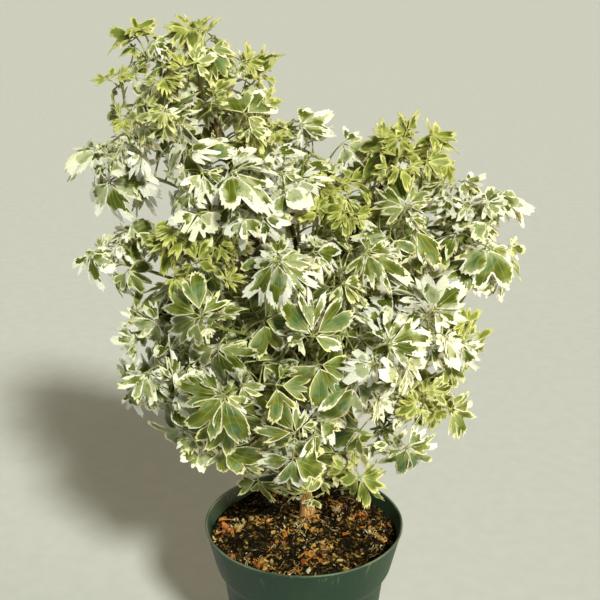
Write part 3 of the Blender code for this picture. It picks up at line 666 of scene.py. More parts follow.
def grow():
    """The limbs, and each leafy stem with its line and its leaves: all the stems first, then a leaf on each
    in turn, and small leaves in the space that is left, also on twigs inside the crown."""
    limbs = limb_lines()
    wood, stems = Placed(), Placed()
    for line, radii in limbs.values():
        wood.add(*prism(line, radii + LEAF_MARGIN, 6))
    sprays = {}
    for number, (name, (limb, tip, length, count, white, youth)) in enumerate(LEAFY_STEMS.items()):
        rng = np.random.default_rng([SEED, number])
        spray = {"number": number, "rng": rng, "length": length, "count": count, "turn": rng.uniform(0, 360),
                 "white": white, "youth": youth, "name": name, "leaves": [], "sprigs": []}
        spray["line"] = line = grow_stem(spray, limbs[limb][0], tip, wood, stems)
        spray["axis"] = unit(unit(np.array(tip) - CROWN_CENTRE) + 0.5 * UP + 0.5 * unit(line[-1] - line[-2]))
        sprays[name] = spray
    wood.trees += stems.trees
    wood.balls = np.vstack([wood.balls, stems.balls])
    for k in range(max(spray["count"] for spray in sprays.values())):
        for spray in sprays.values():
            if k < spray["count"]:
                grow_leaf(spray, k, wood)
    sprigs = [(name, tip) for name, tips in SPRIGS for tip in tips]
    for number, (name, tip) in enumerate(sprigs):
        grow_sprig(sprays[name], number, np.array(tip) / 1000, wood)
    for k, small in enumerate(SMALL_LEAVES):
        for spray in sprays.values():
            grow_leaf(spray, SMALL_LEAF_NUMBERS + k, wood, small)
    return limbs, sprays, grow_inner(limbs, wood)


class Nodes:
    """A material's node net, with short calls for the nodes that are used here."""

    def __init__(self, name):
        self.material = bpy.data.materials.new(name)
        self.material.use_nodes = True
        self.tree = self.material.node_tree
        self.shader = self.tree.nodes["Principled BSDF"]

    def feed(self, socket, value):
        if isinstance(value, bpy.types.NodeSocket):
            self.tree.links.new(value, socket)
        elif value is not None:
            socket.default_value = value

    def node(self, kind, *values, out=0, **settings):
        made = self.tree.nodes.new("ShaderNode" + kind)
        for key, setting in settings.items():
            setattr(made, key, setting)
        for socket, value in zip(made.inputs, values):
            self.feed(socket, value)
        return made.outputs[out]

    def math(self, operation, *values):
        return self.node("Math", *values, operation=operation)

    def sum(self, *terms):
        total = terms[0]
        for term in terms[1:]:
            total = self.math("ADD", total, term)
        return total

    def times(self, a, b):
        return self.math("MULTIPLY", a, b)

    def step(self, value, low, high, first=0.0, last=1.0):
        """Soft step from first at low to last at high."""
        return self.node("MapRange", value, low, high, first, last, interpolation_type="SMOOTHSTEP")

    def mix(self, share, a, b):
        """From a to b by the share. Each is a socket, or a colour as a screen shows it."""
        made = self.tree.nodes.new("ShaderNodeMix")
        made.data_type = "RGBA"
        for index, value in ((0, share), (6, a), (7, b)):
            self.feed(made.inputs[index], colour(*value) if isinstance(value, tuple) else value)
        return made.outputs[2]

    def ramp(self, value, *stops):
        """Colours along a value. Each stop is (place, red, green, blue)."""
        made = self.tree.nodes.new("ShaderNodeValToRGB")
        while len(made.color_ramp.elements) < len(stops):
            made.color_ramp.elements.new(1.0)
        for element, (place, *shade) in zip(made.color_ramp.elements, stops):
            element.position = place
            element.color = colour(*shade)
        self.feed(made.inputs[0], value)
        return made.outputs[0]

    def attribute(self, name, out):
        return self.node("Attribute", attribute_name=name, out=out)

    def split(self, vector):
        made = self.tree.nodes.new("ShaderNodeSeparateXYZ")
        self.feed(made.inputs[0], vector)
        return made.outputs

    def join(self, x, y, z):
        return self.node("CombineXYZ", x, y, z)

    def spot(self, x=1.0, y=1.0, z=1.0):
        """Object coordinates, stretched."""
        mapping = self.tree.nodes.new("ShaderNodeMapping")
        self.feed(mapping.inputs["Vector"], self.node("TexCoord", out=3))
        mapping.inputs["Scale"].default_value = (x, y, z)
        return mapping.outputs[0]

    def noise(self, vector, scale, detail=2.0, rough=0.5):
        return self.node("TexNoise", vector, None, scale, detail, rough)

    def cells(self, vector, scale, feature="F1", out=0):
        return self.node("TexVoronoi", vector, None, scale, out=out, feature=feature)

    def bump(self, height, distance, strength):
        made = self.tree.nodes.new("ShaderNodeBump")
        for name, value in (("Strength", strength), ("Distance", distance), ("Height", height)):
            self.feed(made.inputs[name], value)
        return made.outputs[0]

    def finish(self, shade, roughness, normal=None, **settings):
        for name, value in (("Base Color", shade), ("Roughness", roughness), ("Normal", normal)):
            self.feed(self.shader.inputs[name], value)
        for name, value in settings.items():
            self.shader.inputs[name.replace("_", " ")].default_value = value
        return self.material


def leaf_finish():
    """Variegated leaf. The cream margin is where the distance to the edge is under a width that grows at the
    leaflet's end, in sectors between its veins. The green inside changes from sector to sector."""
    n = Nodes("variegated_leaf")
    edge = n.attribute("edge", 2)
    u, v, seed = n.split(n.attribute("place", 1))
    white, youth, under = n.split(n.attribute("tint", 1))
    fine = n.noise(n.spot(), 800.0, 2.0)
    shift = n.times(seed, 61.0)
    sector = n.noise(n.join(n.sum(n.times(u, 1.9), shift), n.times(v, 0.5), n.times(seed, 17.0)), 1.0, 1.0)
    streak = n.noise(n.join(n.sum(n.times(u, 1.5), shift), n.times(v, 1.6), n.times(seed, -23.0)), 1.0, 0.0)
    patch = n.sum(n.times(streak, 0.35), n.times(n.noise(n.spot(), 95.0, 0.0), 0.65))
    end = n.step(v, 0.40, 1.0)
    jag = n.sum(n.noise(n.spot(), 300.0, 2.0, 0.6), -0.5)
    flood = n.step(n.sum(white, n.times(n.sum(sector, -0.5), 1.6)), 0.40, 1.05, 0.0, 5.2)
    width = n.sum(n.times(fine, 0.6), 0.24, n.times(end, n.sum(n.times(sector, 1.2), flood)),
                  n.times(n.times(n.step(white, 0.60, 1.0, 0.0, 3.0), n.step(v, 0.20, 0.85)),
                          n.step(patch, 0.42, 0.58)),
                  n.times(jag, n.times(n.step(white, 0.1, 0.9, 1.5, 9.0), n.step(v, 0.10, 0.70, 0.25, 1.0))))
    soft = n.step(youth, 0.3, 0.9, 0.16, 0.60)
    cream = n.step(n.sum(edge, n.times(width, -1.0)), n.times(soft, -1.0), soft, 1.0, 0.0)
    pale = n.step(n.sum(edge, n.times(width, -1.0)), 0.2, n.step(white, 0.5, 1.0, 3.2, 6.0), 0.80, 0.0)
    pale = n.times(pale, n.step(n.sum(patch, n.step(white, 0.5, 1.0, 0.0, 0.05)), 0.47, 0.55))
    green = n.ramp(patch, (0.34, 74, 88, 10), (0.43, 98, 108, 28), (0.49, 120, 128, 46),
                   (0.53, 92, 116, 52), (0.58, 80, 112, 72), (0.66, 122, 138, 84))
    green = n.mix(pale, green, n.mix(n.step(white, 0.45, 0.85), (160, 168, 108), (198, 202, 166)))
    lime = n.ramp(patch, (0.38, 64, 80, 4), (0.48, 95, 111, 14), (0.58, 126, 139, 34))
    lime = n.mix(n.step(edge, 0.4, 2.4, 0.7, 0.0), lime, (156, 166, 60))
    green = n.mix(n.step(youth, 0.25, 0.95, 0.0, 0.85), green, lime)
    ribs = n.times(u, 2.5)
    rib = n.times(n.math("ABSOLUTE", n.sum(ribs, n.times(n.math("ROUND", ribs), -1.0))), n.times(v, 8.0))
    rib = n.step(rib, 0.05, 0.40, 1.0, 0.0)
    green = n.mix(n.times(rib, 0.30), green, (190, 194, 128))
    cream_white = n.sum(sector, n.times(white, 0.35))
    margin = n.ramp(cream_white, (0.45, 232, 229, 170), (0.62, 240, 238, 200), (0.76, 245, 245, 240))
    margin = n.mix(n.step(youth, 0.15, 0.9, 0.0, 0.85), margin, (206, 206, 118))
    margin = n.mix(n.times(rib, 0.20), margin, (214, 220, 160))
    shade = n.mix(cream, green, margin)
    shade = n.mix(n.times(under, 0.35), shade, (200, 200, 124))
    shade = n.mix(n.step(fine, 0.3, 0.7, 0.0, 0.16), shade, (70, 84, 34))
    blemish = n.times(n.step(n.noise(n.spot(), 120.0, 3.0), 0.70, 0.74), n.step(seed, 0.80, 0.95))
    shade = n.mix(n.times(blemish, 0.7), shade, (178, 128, 70))
    relief = n.sum(n.times(rib, -0.6), n.times(n.noise(n.spot(), 420.0, 2.0), 0.9))
    rough = n.step(fine, 0.25, 0.75, 0.40, 0.58)
    return n.finish(shade, rough, n.bump(relief, 0.00035, 0.5), Specular_IOR_Level=0.28,
                    Subsurface_Weight=0.22, Subsurface_Scale=0.0008, Subsurface_Radius=(0.9, 1.0, 0.2))


def stalk_finish():
    """Petioles and thin stems: green with cream streaks, brown where they are woody."""
    n = Nodes("stalk")
    along, _, seed = n.split(n.attribute("place", 1))
    white, youth, woody = n.split(n.attribute("tint", 1))
    streak = n.noise(n.join(n.times(along, 3.0), n.times(seed, 40.0), 0.0), 1.0, 2.0)
    fine = n.noise(n.spot(1.0, 1.0, 0.3), 900.0, 3.0)
    shade = n.mix(n.step(youth, 0.2, 0.9), (122, 134, 66), (164, 178, 70))
    shade = n.mix(n.times(n.step(streak, 0.42, 0.60), n.step(white, 0.0, 1.0, 0.35, 0.9)), shade,
                  (222, 220, 164))
    bark = n.ramp(fine, (0.3, 74, 56, 34), (0.5, 116, 92, 56), (0.7, 160, 140, 96))
    shade = n.mix(woody, shade, bark)
    shade = n.mix(n.step(fine, 0.35, 0.7, 0.0, 0.25), shade, (70, 70, 30))
    return n.finish(shade, n.step(fine, 0.3, 0.7, 0.45, 0.62), n.bump(fine, 0.0002, 0.5))


def bark_finish():
    """Bark: tan and orange at the foot, painted brighter there as sunlight, darker and greyer higher up, with
    pale leaf scars, dark cracks and dots."""
    n = Nodes("bark")
    scar = n.attribute("scar", 2)
    _, _, height = n.split(n.node("TexCoord", out=3))
    grain = n.noise(n.spot(1.0, 1.0, 0.22), 520.0, 4.0, 0.6)
    blotch = n.noise(n.spot(), 90.0, 3.0)
    dots = n.cells(n.spot(1.0, 1.0, 0.6), 420.0)
    # Painted light: the foot's ramp is brighter than its bark, standing in for sunlight on the foot.
    low = n.ramp(grain, (0.32, 128, 86, 44), (0.48, 196, 146, 86), (0.66, 238, 200, 140))
    high = n.ramp(grain, (0.32, 40, 31, 16), (0.50, 76, 62, 34), (0.68, 132, 116, 70))
    shade = n.mix(n.step(height, 0.150, 0.215), low, high)
    shade = n.mix(n.step(blotch, 0.50, 0.66, 0.0, 0.45), shade, (120, 116, 70))
    shade = n.mix(n.step(dots, 0.10, 0.22, 0.55, 0.0), shade, (196, 170, 120))
    shade = n.mix(n.step(scar, 0.25, 0.9, 0.0, 0.75), shade, (190, 168, 116))
    cracks = n.cells(n.spot(1.0, 1.0, 0.25), 330.0, "DISTANCE_TO_EDGE")
    shade = n.mix(n.step(cracks, 0.0, 0.10, 0.65, 0.0), shade, (38, 26, 16))
    relief = n.sum(grain, n.step(cracks, 0.0, 0.15), n.times(dots, -0.3))
    return n.finish(shade, n.step(grain, 0.3, 0.7, 0.72, 0.90), n.bump(relief, 0.0006, 0.7))


def pot_finish():
    """Thin green nursery plastic: satin, faintly clouded, with a painted highlight along the lip, dust low
    down and a few splashes of dried water below the lip."""
    n = Nodes("pot_plastic")
    _, _, height = n.split(n.node("TexCoord", out=3))
    cloud = n.noise(n.spot(1.0, 1.0, 0.5), 30.0, 3.0)
    fine = n.noise(n.spot(), 900.0, 2.0)
    brushed = n.noise(n.spot(1.0, 1.0, 14.0), 60.0, 2.0)
    shade = n.ramp(cloud, (0.30, 22, 48, 38), (0.50, 29, 55, 41), (0.70, 40, 64, 45))
    shade = n.mix(n.step(fine, 0.55, 0.75, 0.0, 0.20), shade, (92, 110, 84))
    dust = n.times(n.step(height, 0.0, 0.05, 0.30, 0.0), n.step(cloud, 0.35, 0.65))
    shade = n.mix(dust, shade, (130, 124, 100))
    runs = n.noise(n.spot(1.0, 1.0, 0.10), 260.0, 2.0)
    wet = n.times(n.step(height, 0.122, 0.138), n.step(runs, 0.64, 0.70, 0.0, 0.30))
    shade = n.mix(wet, shade, (126, 134, 108))
    # Painted highlight: the lip is painted paler in clouded patches, standing in for the line of light along
    # the rim.
    painted_lip_highlight = n.step(n.sum(height, n.times(fine, 0.0006)), POT_HEIGHT - 0.6 * LIP, POT_HEIGHT)
    shade = n.mix(n.times(painted_lip_highlight, n.step(cloud, 0.40, 0.60, 0.20, 0.60)), shade, (128, 142, 120))
    relief = n.sum(n.times(fine, 0.5), n.times(brushed, 0.6), n.times(cloud, 0.8))
    return n.finish(shade, n.step(cloud, 0.3, 0.7, 0.46, 0.60), n.bump(relief, 0.0003, 0.35),
                    Specular_IOR_Level=0.36)


def soil_finish():
    """Peat and bark seen as small cells: most nearly black, some brown, a few orange or straw-coloured."""
    n = Nodes("potting_soil")
    cell = n.node("SeparateColor", n.cells(n.spot(), 520.0, out=1))
    flake = n.node("SeparateColor", n.cells(n.spot(1.0, 0.6, 1.0), 210.0, out=1))
    patch = n.noise(n.spot(), 70.0, 3.0)
    pick = n.sum(n.times(cell, 0.55), n.times(flake, 0.25), n.times(patch, 0.30))
    shade = n.ramp(pick, (0.0, 7, 6, 1), (0.52, 15, 12, 3), (0.66, 50, 37, 11),
                   (0.78, 124, 92, 34), (0.90, 202, 166, 92))
    fine = n.noise(n.spot(), 1500.0, 3.0)
    shade = n.mix(n.step(fine, 0.4, 0.7, 0.5, 0.0), shade, (14, 10, 6))
    relief = n.sum(n.cells(n.spot(), 520.0), n.times(fine, 0.5), n.times(patch, 0.6))
    return n.finish(shade, n.step(fine, 0.3, 0.7, 0.78, 0.98), n.bump(relief, 0.0012, 0.8),
                    Specular_IOR_Level=0.12)


def bits_finish(name, *stops):
    """Loose bits on the soil. Each takes its colour from the ramp by its own number, with grain on it."""
    n = Nodes(name)
    pick = n.attribute("shade", 2)
    grain = n.noise(n.spot(1.0, 0.5, 1.0), 1200.0, 3.0, 0.6)
    shade = n.ramp(n.sum(pick, n.times(n.sum(grain, -0.5), 0.35)), *stops)
    shade = n.mix(n.step(grain, 0.35, 0.65, 0.40, 0.0), shade, (30, 20, 12))
    return n.finish(shade, n.step(grain, 0.3, 0.7, 0.65, 0.9), n.bump(grain, 0.0004, 0.6),
                    Specular_IOR_Level=0.25)


def perlite_finish():
    """White foamed grains with grey pores and a little soil on them."""
    n = Nodes("perlite")
    pores = n.cells(n.spot(), 1800.0)
    dirt = n.noise(n.spot(), 500.0, 3.0)
    shade = n.mix(n.step(pores, 0.15, 0.45, 0.45, 0.0), (218, 217, 208), (140, 136, 122))
    shade = n.mix(n.step(dirt, 0.46, 0.62, 0.0, 0.8), shade, (120, 92, 60))
    return n.finish(shade, n.step(dirt, 0.3, 0.7, 0.75, 0.9), n.bump(pores, 0.0004, 0.6))


def added(name, data):
    """A new object in the scene."""
    made = bpy.data.objects.new(name, data)
    bpy.context.scene.collection.objects.link(made)
    return made


def piece(name, points, faces, finishes, values=None, index=None, sharp=None):
    """One object from arrays: its points, its faces in groups of one size each, and values at its points,
    one number or three for each point."""
    mesh = bpy.data.meshes.new(name)
    mesh.from_pydata(points.tolist(), [], [face for group in faces for face in group.tolist()])
    for finish in finishes:
        mesh.materials.append(finish)
    for key, array in (values or {}).items():
        kind, field = ("FLOAT", "value") if array.ndim == 1 else ("FLOAT_VECTOR", "vector")
        layer = mesh.attributes.new(key, kind, "POINT")
        layer.data.foreach_set(field, array.ravel().astype(np.float32))
    if index is not None:
        mesh.polygons.foreach_set("material_index", index)
    mesh.shade_smooth()
    if sharp:
        mesh.set_sharp_from_angle(angle=np.radians(sharp))
    mesh.update()
    made = added(name, mesh)
    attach(made, "root")
    return made


def repeat(pattern, count, step):
    """The faces of one net again for each of several nets whose points follow each other."""
    return (pattern[None] + np.arange(count)[:, None, None] * step).reshape(-1, pattern.shape[1])


def joined(nets):
    """Several nets of points, quads and triangles as one: all the points, and the faces counted on."""
    start = np.cumsum([0] + [len(net[0]) for net in nets[:-1]])
    faces = [np.vstack([net[k] + first for net, first in zip(nets, start)]) for k in (1, 2)]
    return np.vstack([net[0] for net in nets]), faces


def tubes(lines, radii, sides):
    """Closed round tubes along several lines of one length each. Ring point = centre + radius (cos t side +
    sin t over), and both ends close on their centres. Gives points, quads and triangles, and each point's
    share along."""
    count, steps, _ = lines.shape
    along = unit(np.gradient(lines, axis=1))
    mean = np.abs(lines[:, -1] - lines[:, 0])
    least = np.eye(3)[np.argmin(mean, axis=1)][:, None]
    side = unit(np.cross(along, least))
    over = np.cross(along, side)
    t = np.linspace(0, 2 * np.pi, sides, endpoint=False)[:, None]
    ring = np.cos(t) * side[:, :, None] + np.sin(t) * over[:, :, None]
    body = (lines[:, :, None] + ring * radii[:, :, None, None]).reshape(count, -1, 3)
    points = np.concatenate([body, lines[:, :1], lines[:, -1:]], axis=1)
    share = np.append(np.repeat(np.linspace(0, 1, steps), sides), (0.0, 1.0))
    pole = steps * sides
    caps = np.vstack([fan(pole, 0, sides)[:, (0, 2, 1)], fan(pole + 1, pole - sides, sides)])
    quads, caps = (repeat(group, count, pole + 2) for group in (bands(steps, sides), caps))
    return points.reshape(-1, 3), quads, caps, np.tile(share, count)


def leaflet_faces(columns, rows):
    """Faces of one closed leaflet: a fan from its base to the first row, bands between rows, a margin with
    two points for each column, the same turned over for the underside, and a rim. Gives quads, triangles
    and its point count."""
    j = np.arange(columns - 1)
    row = 1 + np.arange(rows) * columns
    margin = 1 + rows * columns
    inner = margin - columns
    size = margin + 2 * columns - 1
    triangles = [np.column_stack([0 * j, 1 + j, 2 + j]),
                 np.column_stack([inner + j, margin + 2 * j, margin + 2 * j + 1]),
                 np.column_stack([inner + j, margin + 2 * j + 1, inner + j + 1]),
                 np.column_stack([inner + j + 1, margin + 2 * j + 1, margin + 2 * j + 2])]
    between = [np.column_stack([a + j, b + j, b + j + 1, a + j + 1]) for a, b in zip(row, row[1:])]
    loop = np.array([0, *row, *range(margin, size), *(row + columns - 1)[::-1]])
    after = np.roll(loop, -1)
    rim = np.column_stack([after, loop, loop + size, after + size])
    triangles = np.vstack(triangles)
    quads = np.vstack([*between, *[band[:, ::-1] + size for band in between], rim])
    return quads, np.vstack([triangles, triangles[:, ::-1] + size]), size


def leaflet_points(rows, net, rng):
    """Points of many leaflets. In its own plane a point is at distance r and angle theta from the leaflet's
    base. The margin is at r = (1 - a |u|^2.9) less its notches, each a narrow cut in a wide hollow, plus
    teeth on every other point. theta = half angle * u * (b - (b - 0.8) r), plus a turn away from the
    deepest notch that grows beyond the notch's foot, so that its two lobes part. The height is fold * |y| +
    roll * y - fall * x - curl * (x^2 + y^2) + ruffle * r^2 * sin(k u) + the lobes' own twist. The leaflet
    then turns to its angle round the leaf's hub, and the whole leaf arches down with distance squared."""
    count = len(rows["reach"])
    columns, shares = net["columns"], net["rows"]
    u_in, u_out = np.linspace(-1, 1, columns), np.linspace(-1, 1, 2 * columns - 1)
    youth = rows["youth"][:, None]
    outer = 0.30 * (rows["angle"][:, None] / 98) ** 2 * (1 - youth)

    def draw(low, high, width=1):
        return rng.uniform(low, high, (count, width))

    half = np.radians(draw(0.94, 1.26) * rows["wide"][:, None] - 3 * youth)
    base = draw(0.86, 1.40)
    shoulder = draw(0.28, 0.58)
    lean = draw(-0.16, 0.16)
    hand = np.sign(draw(-1, 1))
    # Notches: how often each is there, where it is across the leaflet, and how deep it is
    kinds = ((0.94, draw(0.0, 0.42), draw(0.28, 0.60)),
             (0.74, draw(-0.66, -0.30), draw(0.18, 0.46)),
             (0.36 + 0.6 * youth, draw(0.48, 0.74), draw(0.12, 0.34)))
    notches = []
    for chance, side, depth in kinds:
        depth = depth * (1 + 0.25 * youth)
        place = np.round(hand * side * (columns - 1)) / (columns - 1)
        notches.append((place, depth * (draw(0, 1) < chance), draw(0.08, 0.15)))

    def reach(u):
        r = (1 - shoulder * np.abs(u) ** 2.9) * (1 + lean * u)
        for place, depth, wide in notches:
            off = np.abs(u - place)
            r = r * (1 - depth * np.exp(-((off / wide) ** 2)))
            r = r * (1 - 0.30 * depth * np.exp(-((off / 0.24) ** 2)))
        return r

    odd = (np.arange(2 * columns - 1) % 2).astype(float)
    teeth = draw(0.3, 1.4, 2 * columns - 1) * odd * (0.066 + 0.085 * youth) * (1 - np.abs(u_out) ** 8)
    r_out = reach(u_out) * (1 + teeth - 0.02 * (1 - odd))
    first = shares[0] * (1 - shoulder * np.abs(u_in) ** 2.9)
    inner = [first]
    for share in shares[1:]:
        inner.append(inner[-1] + share * (reach(u_in) - inner[-1]))
    r = np.concatenate([np.zeros((count, 1)), *inner, r_out], axis=1)
    u = np.concatenate([[0.0], *[u_in] * len(shares), u_out])[None] * np.ones((count, 1))
    u[:, -len(u_out):] += draw(-0.3, 0.3, len(u_out)) * odd / (2 * columns - 2)
    place, depth, _ = notches[0]
    beyond = np.clip(r - 0.9 * (1 - depth), 0, 1) * np.tanh((u - place) / 0.10) * (depth > 0)
    theta = half * u * (base - (base - 0.80) * r) + draw(0.05, 0.38) * beyond
    x, y = r * np.cos(theta), r * np.sin(theta)
    ruffle = draw(0.02, 0.075) * r**2 * np.sin(draw(3.5, 7.5) * u + draw(0, 6.3))
    fall = draw(-0.30, 0.42) + outer - 0.25 * youth
    z = (draw(0.0, 0.42) * np.abs(y) + draw(-0.55, 0.55) * y - fall * x - draw(-0.15, 0.42) * (x**2 + y**2)
         + ruffle + draw(-0.30, 0.30) * beyond + draw(-0.010, 0.010, r.shape[1]) * r)
    # Distance to the margin or to the leaflet's sides, whichever is less, as a share of the blade
    spots = np.stack([x, y], -1)
    gap = np.linalg.norm(spots[:, :, None] - spots[:, None, -len(u_out):], axis=-1).min(-1)
    edge = np.minimum(gap, r * np.sin(np.clip(half * (1 - np.abs(u)), 0, 1.5)))
    edge[:, 0] = edge[:, -len(u_out):] = 0.0
    blade = (rows["reach"] - rows["gap"])[:, None]
    angle = np.radians(rows["angle"])[:, None]
    along, across, lift = rows["gap"][:, None] + x * blade, y * blade, z * blade
    px, py = along * np.cos(angle) - across * np.sin(angle), along * np.sin(angle) + across * np.cos(angle)
    lift = lift - (rows["arch"] / rows["length"])[:, None] * (px**2 + py**2)
    top = rows["hub"][:, None]
    for distance, axis in ((px, "forward"), (py, "side"), (lift, "normal")):
        top = top + distance[..., None] * rows[axis][:, None]
    low = top - rows["normal"][:, None] * LEAFLET_THICKNESS
    points = np.concatenate([top, low], axis=1).reshape(-1, 3)
    size = r.shape[1]
    place = np.stack([u, r, np.repeat(rows["seed"][:, None], size, 1)], -1)
    place = np.concatenate([place, place], axis=1).reshape(-1, 3)
    tint = np.zeros((count, 2 * size, 3))
    tint[..., 0] = rows["white"][:, None]
    tint[..., 1] = youth
    tint[:, size:, 2] = 1.0
    millimetres = np.concatenate([edge, edge], axis=1) * blade * 1000
    return points, millimetres.ravel(), place, tint.reshape(-1, 3)


def leaf_rows(leaves, spray, rng):
    """One row for each leaflet of the leaves, as a table of arrays. Leaves below the stem's tip are older:
    less young and less white."""
    rows = []
    name = spray.get("name")
    for leaf in leaves:
        number, place, small = len(leaf["angles"]), leaf["place"], leaf["small"]
        young = 0.18 if place < 0 else -0.03 * place
        older = max(place, 0)
        grown = GROWN_LEAVES.get(name, 0.0) * (place > 0)
        white = max(spray["white"] * (1 - 0.08 * older), spray["white"] - 0.04 * older) + rng.normal(0, 0.14)
        white = white + 0.5 * grown
        youth = np.clip(spray["youth"] + young - grown + rng.normal(0, 0.08), 0, 1)
        short = 1.0 if small else SHORT_LEAVES.get((name, place), 1.0)
        outer = np.where(np.abs(leaf["angles"]) > 80, 0.85, 1)
        values = {
            "length": leaf["length"],
            "angle": leaf["angles"] + rng.uniform(-9, 9, number) * small,
            "arch": LEAF_ARCH * (rng.uniform(0.2, 1.0) if small else 1.0) * (1 - 0.5 * youth),
            "wide": LEAFLET_HALF_ANGLES[number],
            "reach": leaf["reach"] * short * rng.uniform(0.88, 1.08, number) * outer,
            "gap": leaf["length"] * rng.uniform(0.05, 0.13, number),
            "white": np.clip(white + rng.normal(0, 0.12, number), 0, 1),
            "youth": youth,
            "seed": rng.uniform(0, 1, number),
        }
        row = {key: np.tile(leaf[key], (number, 1)) for key in ("hub", "forward", "side", "normal")}
        rows.append(row | {key: np.broadcast_to(value, number) for key, value in values.items()})
    return {key: np.concatenate([row[key] for row in rows]) for key in rows[0]}


def stalk_lines(leaves, rows):
    """Curves and radii of the petioles, which swell where they clasp the stem, and of the leaflets' own
    stalks, which run on under the blade as its rib."""
    root = np.array([leaf["root"] for leaf in leaves])
    hub = np.array([leaf["hub"] for leaf in leaves])
    length = np.array([leaf["length"] for leaf in leaves])[:, None]
    thick = 0.45 + 0.55 * np.clip(length / 0.030, 0.3, 1.1)
    petioles = arc(root, hub, (root + hub) / 2 + UP * 0.10 * length, 6)
    petiole_radii = thick * np.array([[0.00115, 0.00080, 0.00062, 0.00056, 0.00054, 0.00064]])
    angle = np.radians(rows["angle"])[:, None]
    way = np.cos(angle) * rows["forward"] + np.sin(angle) * rows["side"]
    reach = rows["gap"] + 0.30 * (rows["reach"] - rows["gap"])
    below = rows["arch"] * reach**2 / rows["length"] + 0.00045 + 0.02 * reach
    tip = rows["hub"] + way * reach[:, None] - rows["normal"] * below[:, None]
    middle = rows["hub"] + way * (0.5 * reach)[:, None]
    ribs = arc(rows["hub"] - rows["normal"] * 0.00025, tip, middle, 4)
    size = np.clip(rows["length"] / 0.030, 0.4, 1.1)[:, None]
    rib_radii = size * np.array([[0.00052, 0.00040, 0.00034, 0.00016]])
    return (petioles, petiole_radii), (ribs, rib_radii)


def make_foliage(name, spray, finishes, node=None):
    """A leafy stem: the stem itself, petioles, leaflets' stalks and all its leaflets, as one piece. Each
    part of it is a net with its distance to the edge, place, tint and finish."""
    rng = np.random.default_rng([SEED, spray["number"], 900])
    young = name in YOUNG
    main = [leaf for leaf in spray["leaves"] if not leaf["small"] or young]
    small = [leaf for leaf in spray["leaves"] if leaf["small"] and not young]
    parts, stalks = [], []
    for leaves, net in ((main, FINE_NET), (small, PLAIN_NET)):
        if not leaves:
            continue
        rows = leaf_rows(leaves, spray, rng)
        points, edge, place, tint = leaflet_points(rows, net, rng)
        quads, triangles, size = leaflet_faces(net["columns"], len(net["rows"]))
        faces = [repeat(group, len(rows["reach"]), 2 * size) for group in (quads, triangles)]
        parts.append((points, *faces, edge, place, tint, 0))
        stalks += [*zip(stalk_lines(leaves, rows), (5, 4))]
    if spray["sprigs"]:
        side_lines = np.array([smooth_path(line, 9) for line in spray["sprigs"]])
        side_radii = np.linspace(0.00095, 0.00055, 9)[None] * np.ones((len(side_lines), 1))
        stalks.append(((side_lines, side_radii), 5))
    radii = np.linspace(*STEM_RADII, 17) * (1 + 0.10 * np.sin(np.arange(17) * 2.4))
    radii[-1] *= 0.55
    stalks.append(((smooth_path(spray["line"], 17)[None], radii[None]), 7))
    for k, ((lines, radii), sides) in enumerate(stalks):
        points, quads, caps, share = tubes(lines, radii, sides)
        one = np.ones(len(share))
        woody = 0.9 - 0.75 * share if k == len(stalks) - 1 else 0 * share
        along = share + np.repeat(np.arange(len(lines)) * 1.7, len(share) // len(lines))
        place = np.column_stack([along, share, spray["number"] / len(LEAFY_STEMS) * one])
        tint = np.column_stack([spray["white"] * one, spray["youth"] * one, woody])
        parts.append((points, quads, caps, FAR_FROM_EDGE * one, place, tint, 1))
    points, faces = joined(parts)
    edge, place, tint = (np.concatenate([part[k] for part in parts]) for k in (3, 4, 5))
    index = np.concatenate([np.full(len(part[k]), part[6]) for k in (1, 2) for part in parts])
    values = {"edge": edge, "place": place, "tint": tint}
    made = piece(name + "_foliage", points, faces, finishes, values, index, 50)
    if node:
        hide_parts(node)


def value_noise(x, y, seed, wrap=NOISE_CELLS):
    """Random heights from -1 to 1 at the corners of unit cells, blended smoothly between them. x wraps
    round."""
    table = np.random.default_rng([SEED, 700, seed]).uniform(-1, 1, (NOISE_CELLS, NOISE_CELLS))
    i, j = np.floor(x).astype(int), np.floor(y).astype(int)
    f, g = x - i, y - j
    f, g = f * f * (3 - 2 * f), g * g * (3 - 2 * g)
    a, b = i % wrap, (i + 1) % wrap
    c, d = j % NOISE_CELLS, (j + 1) % NOISE_CELLS
    low = table[a, c] * (1 - f) + table[b, c] * f
    high = table[a, d] * (1 - f) + table[b, d] * f
    return low * (1 - g) + high * g


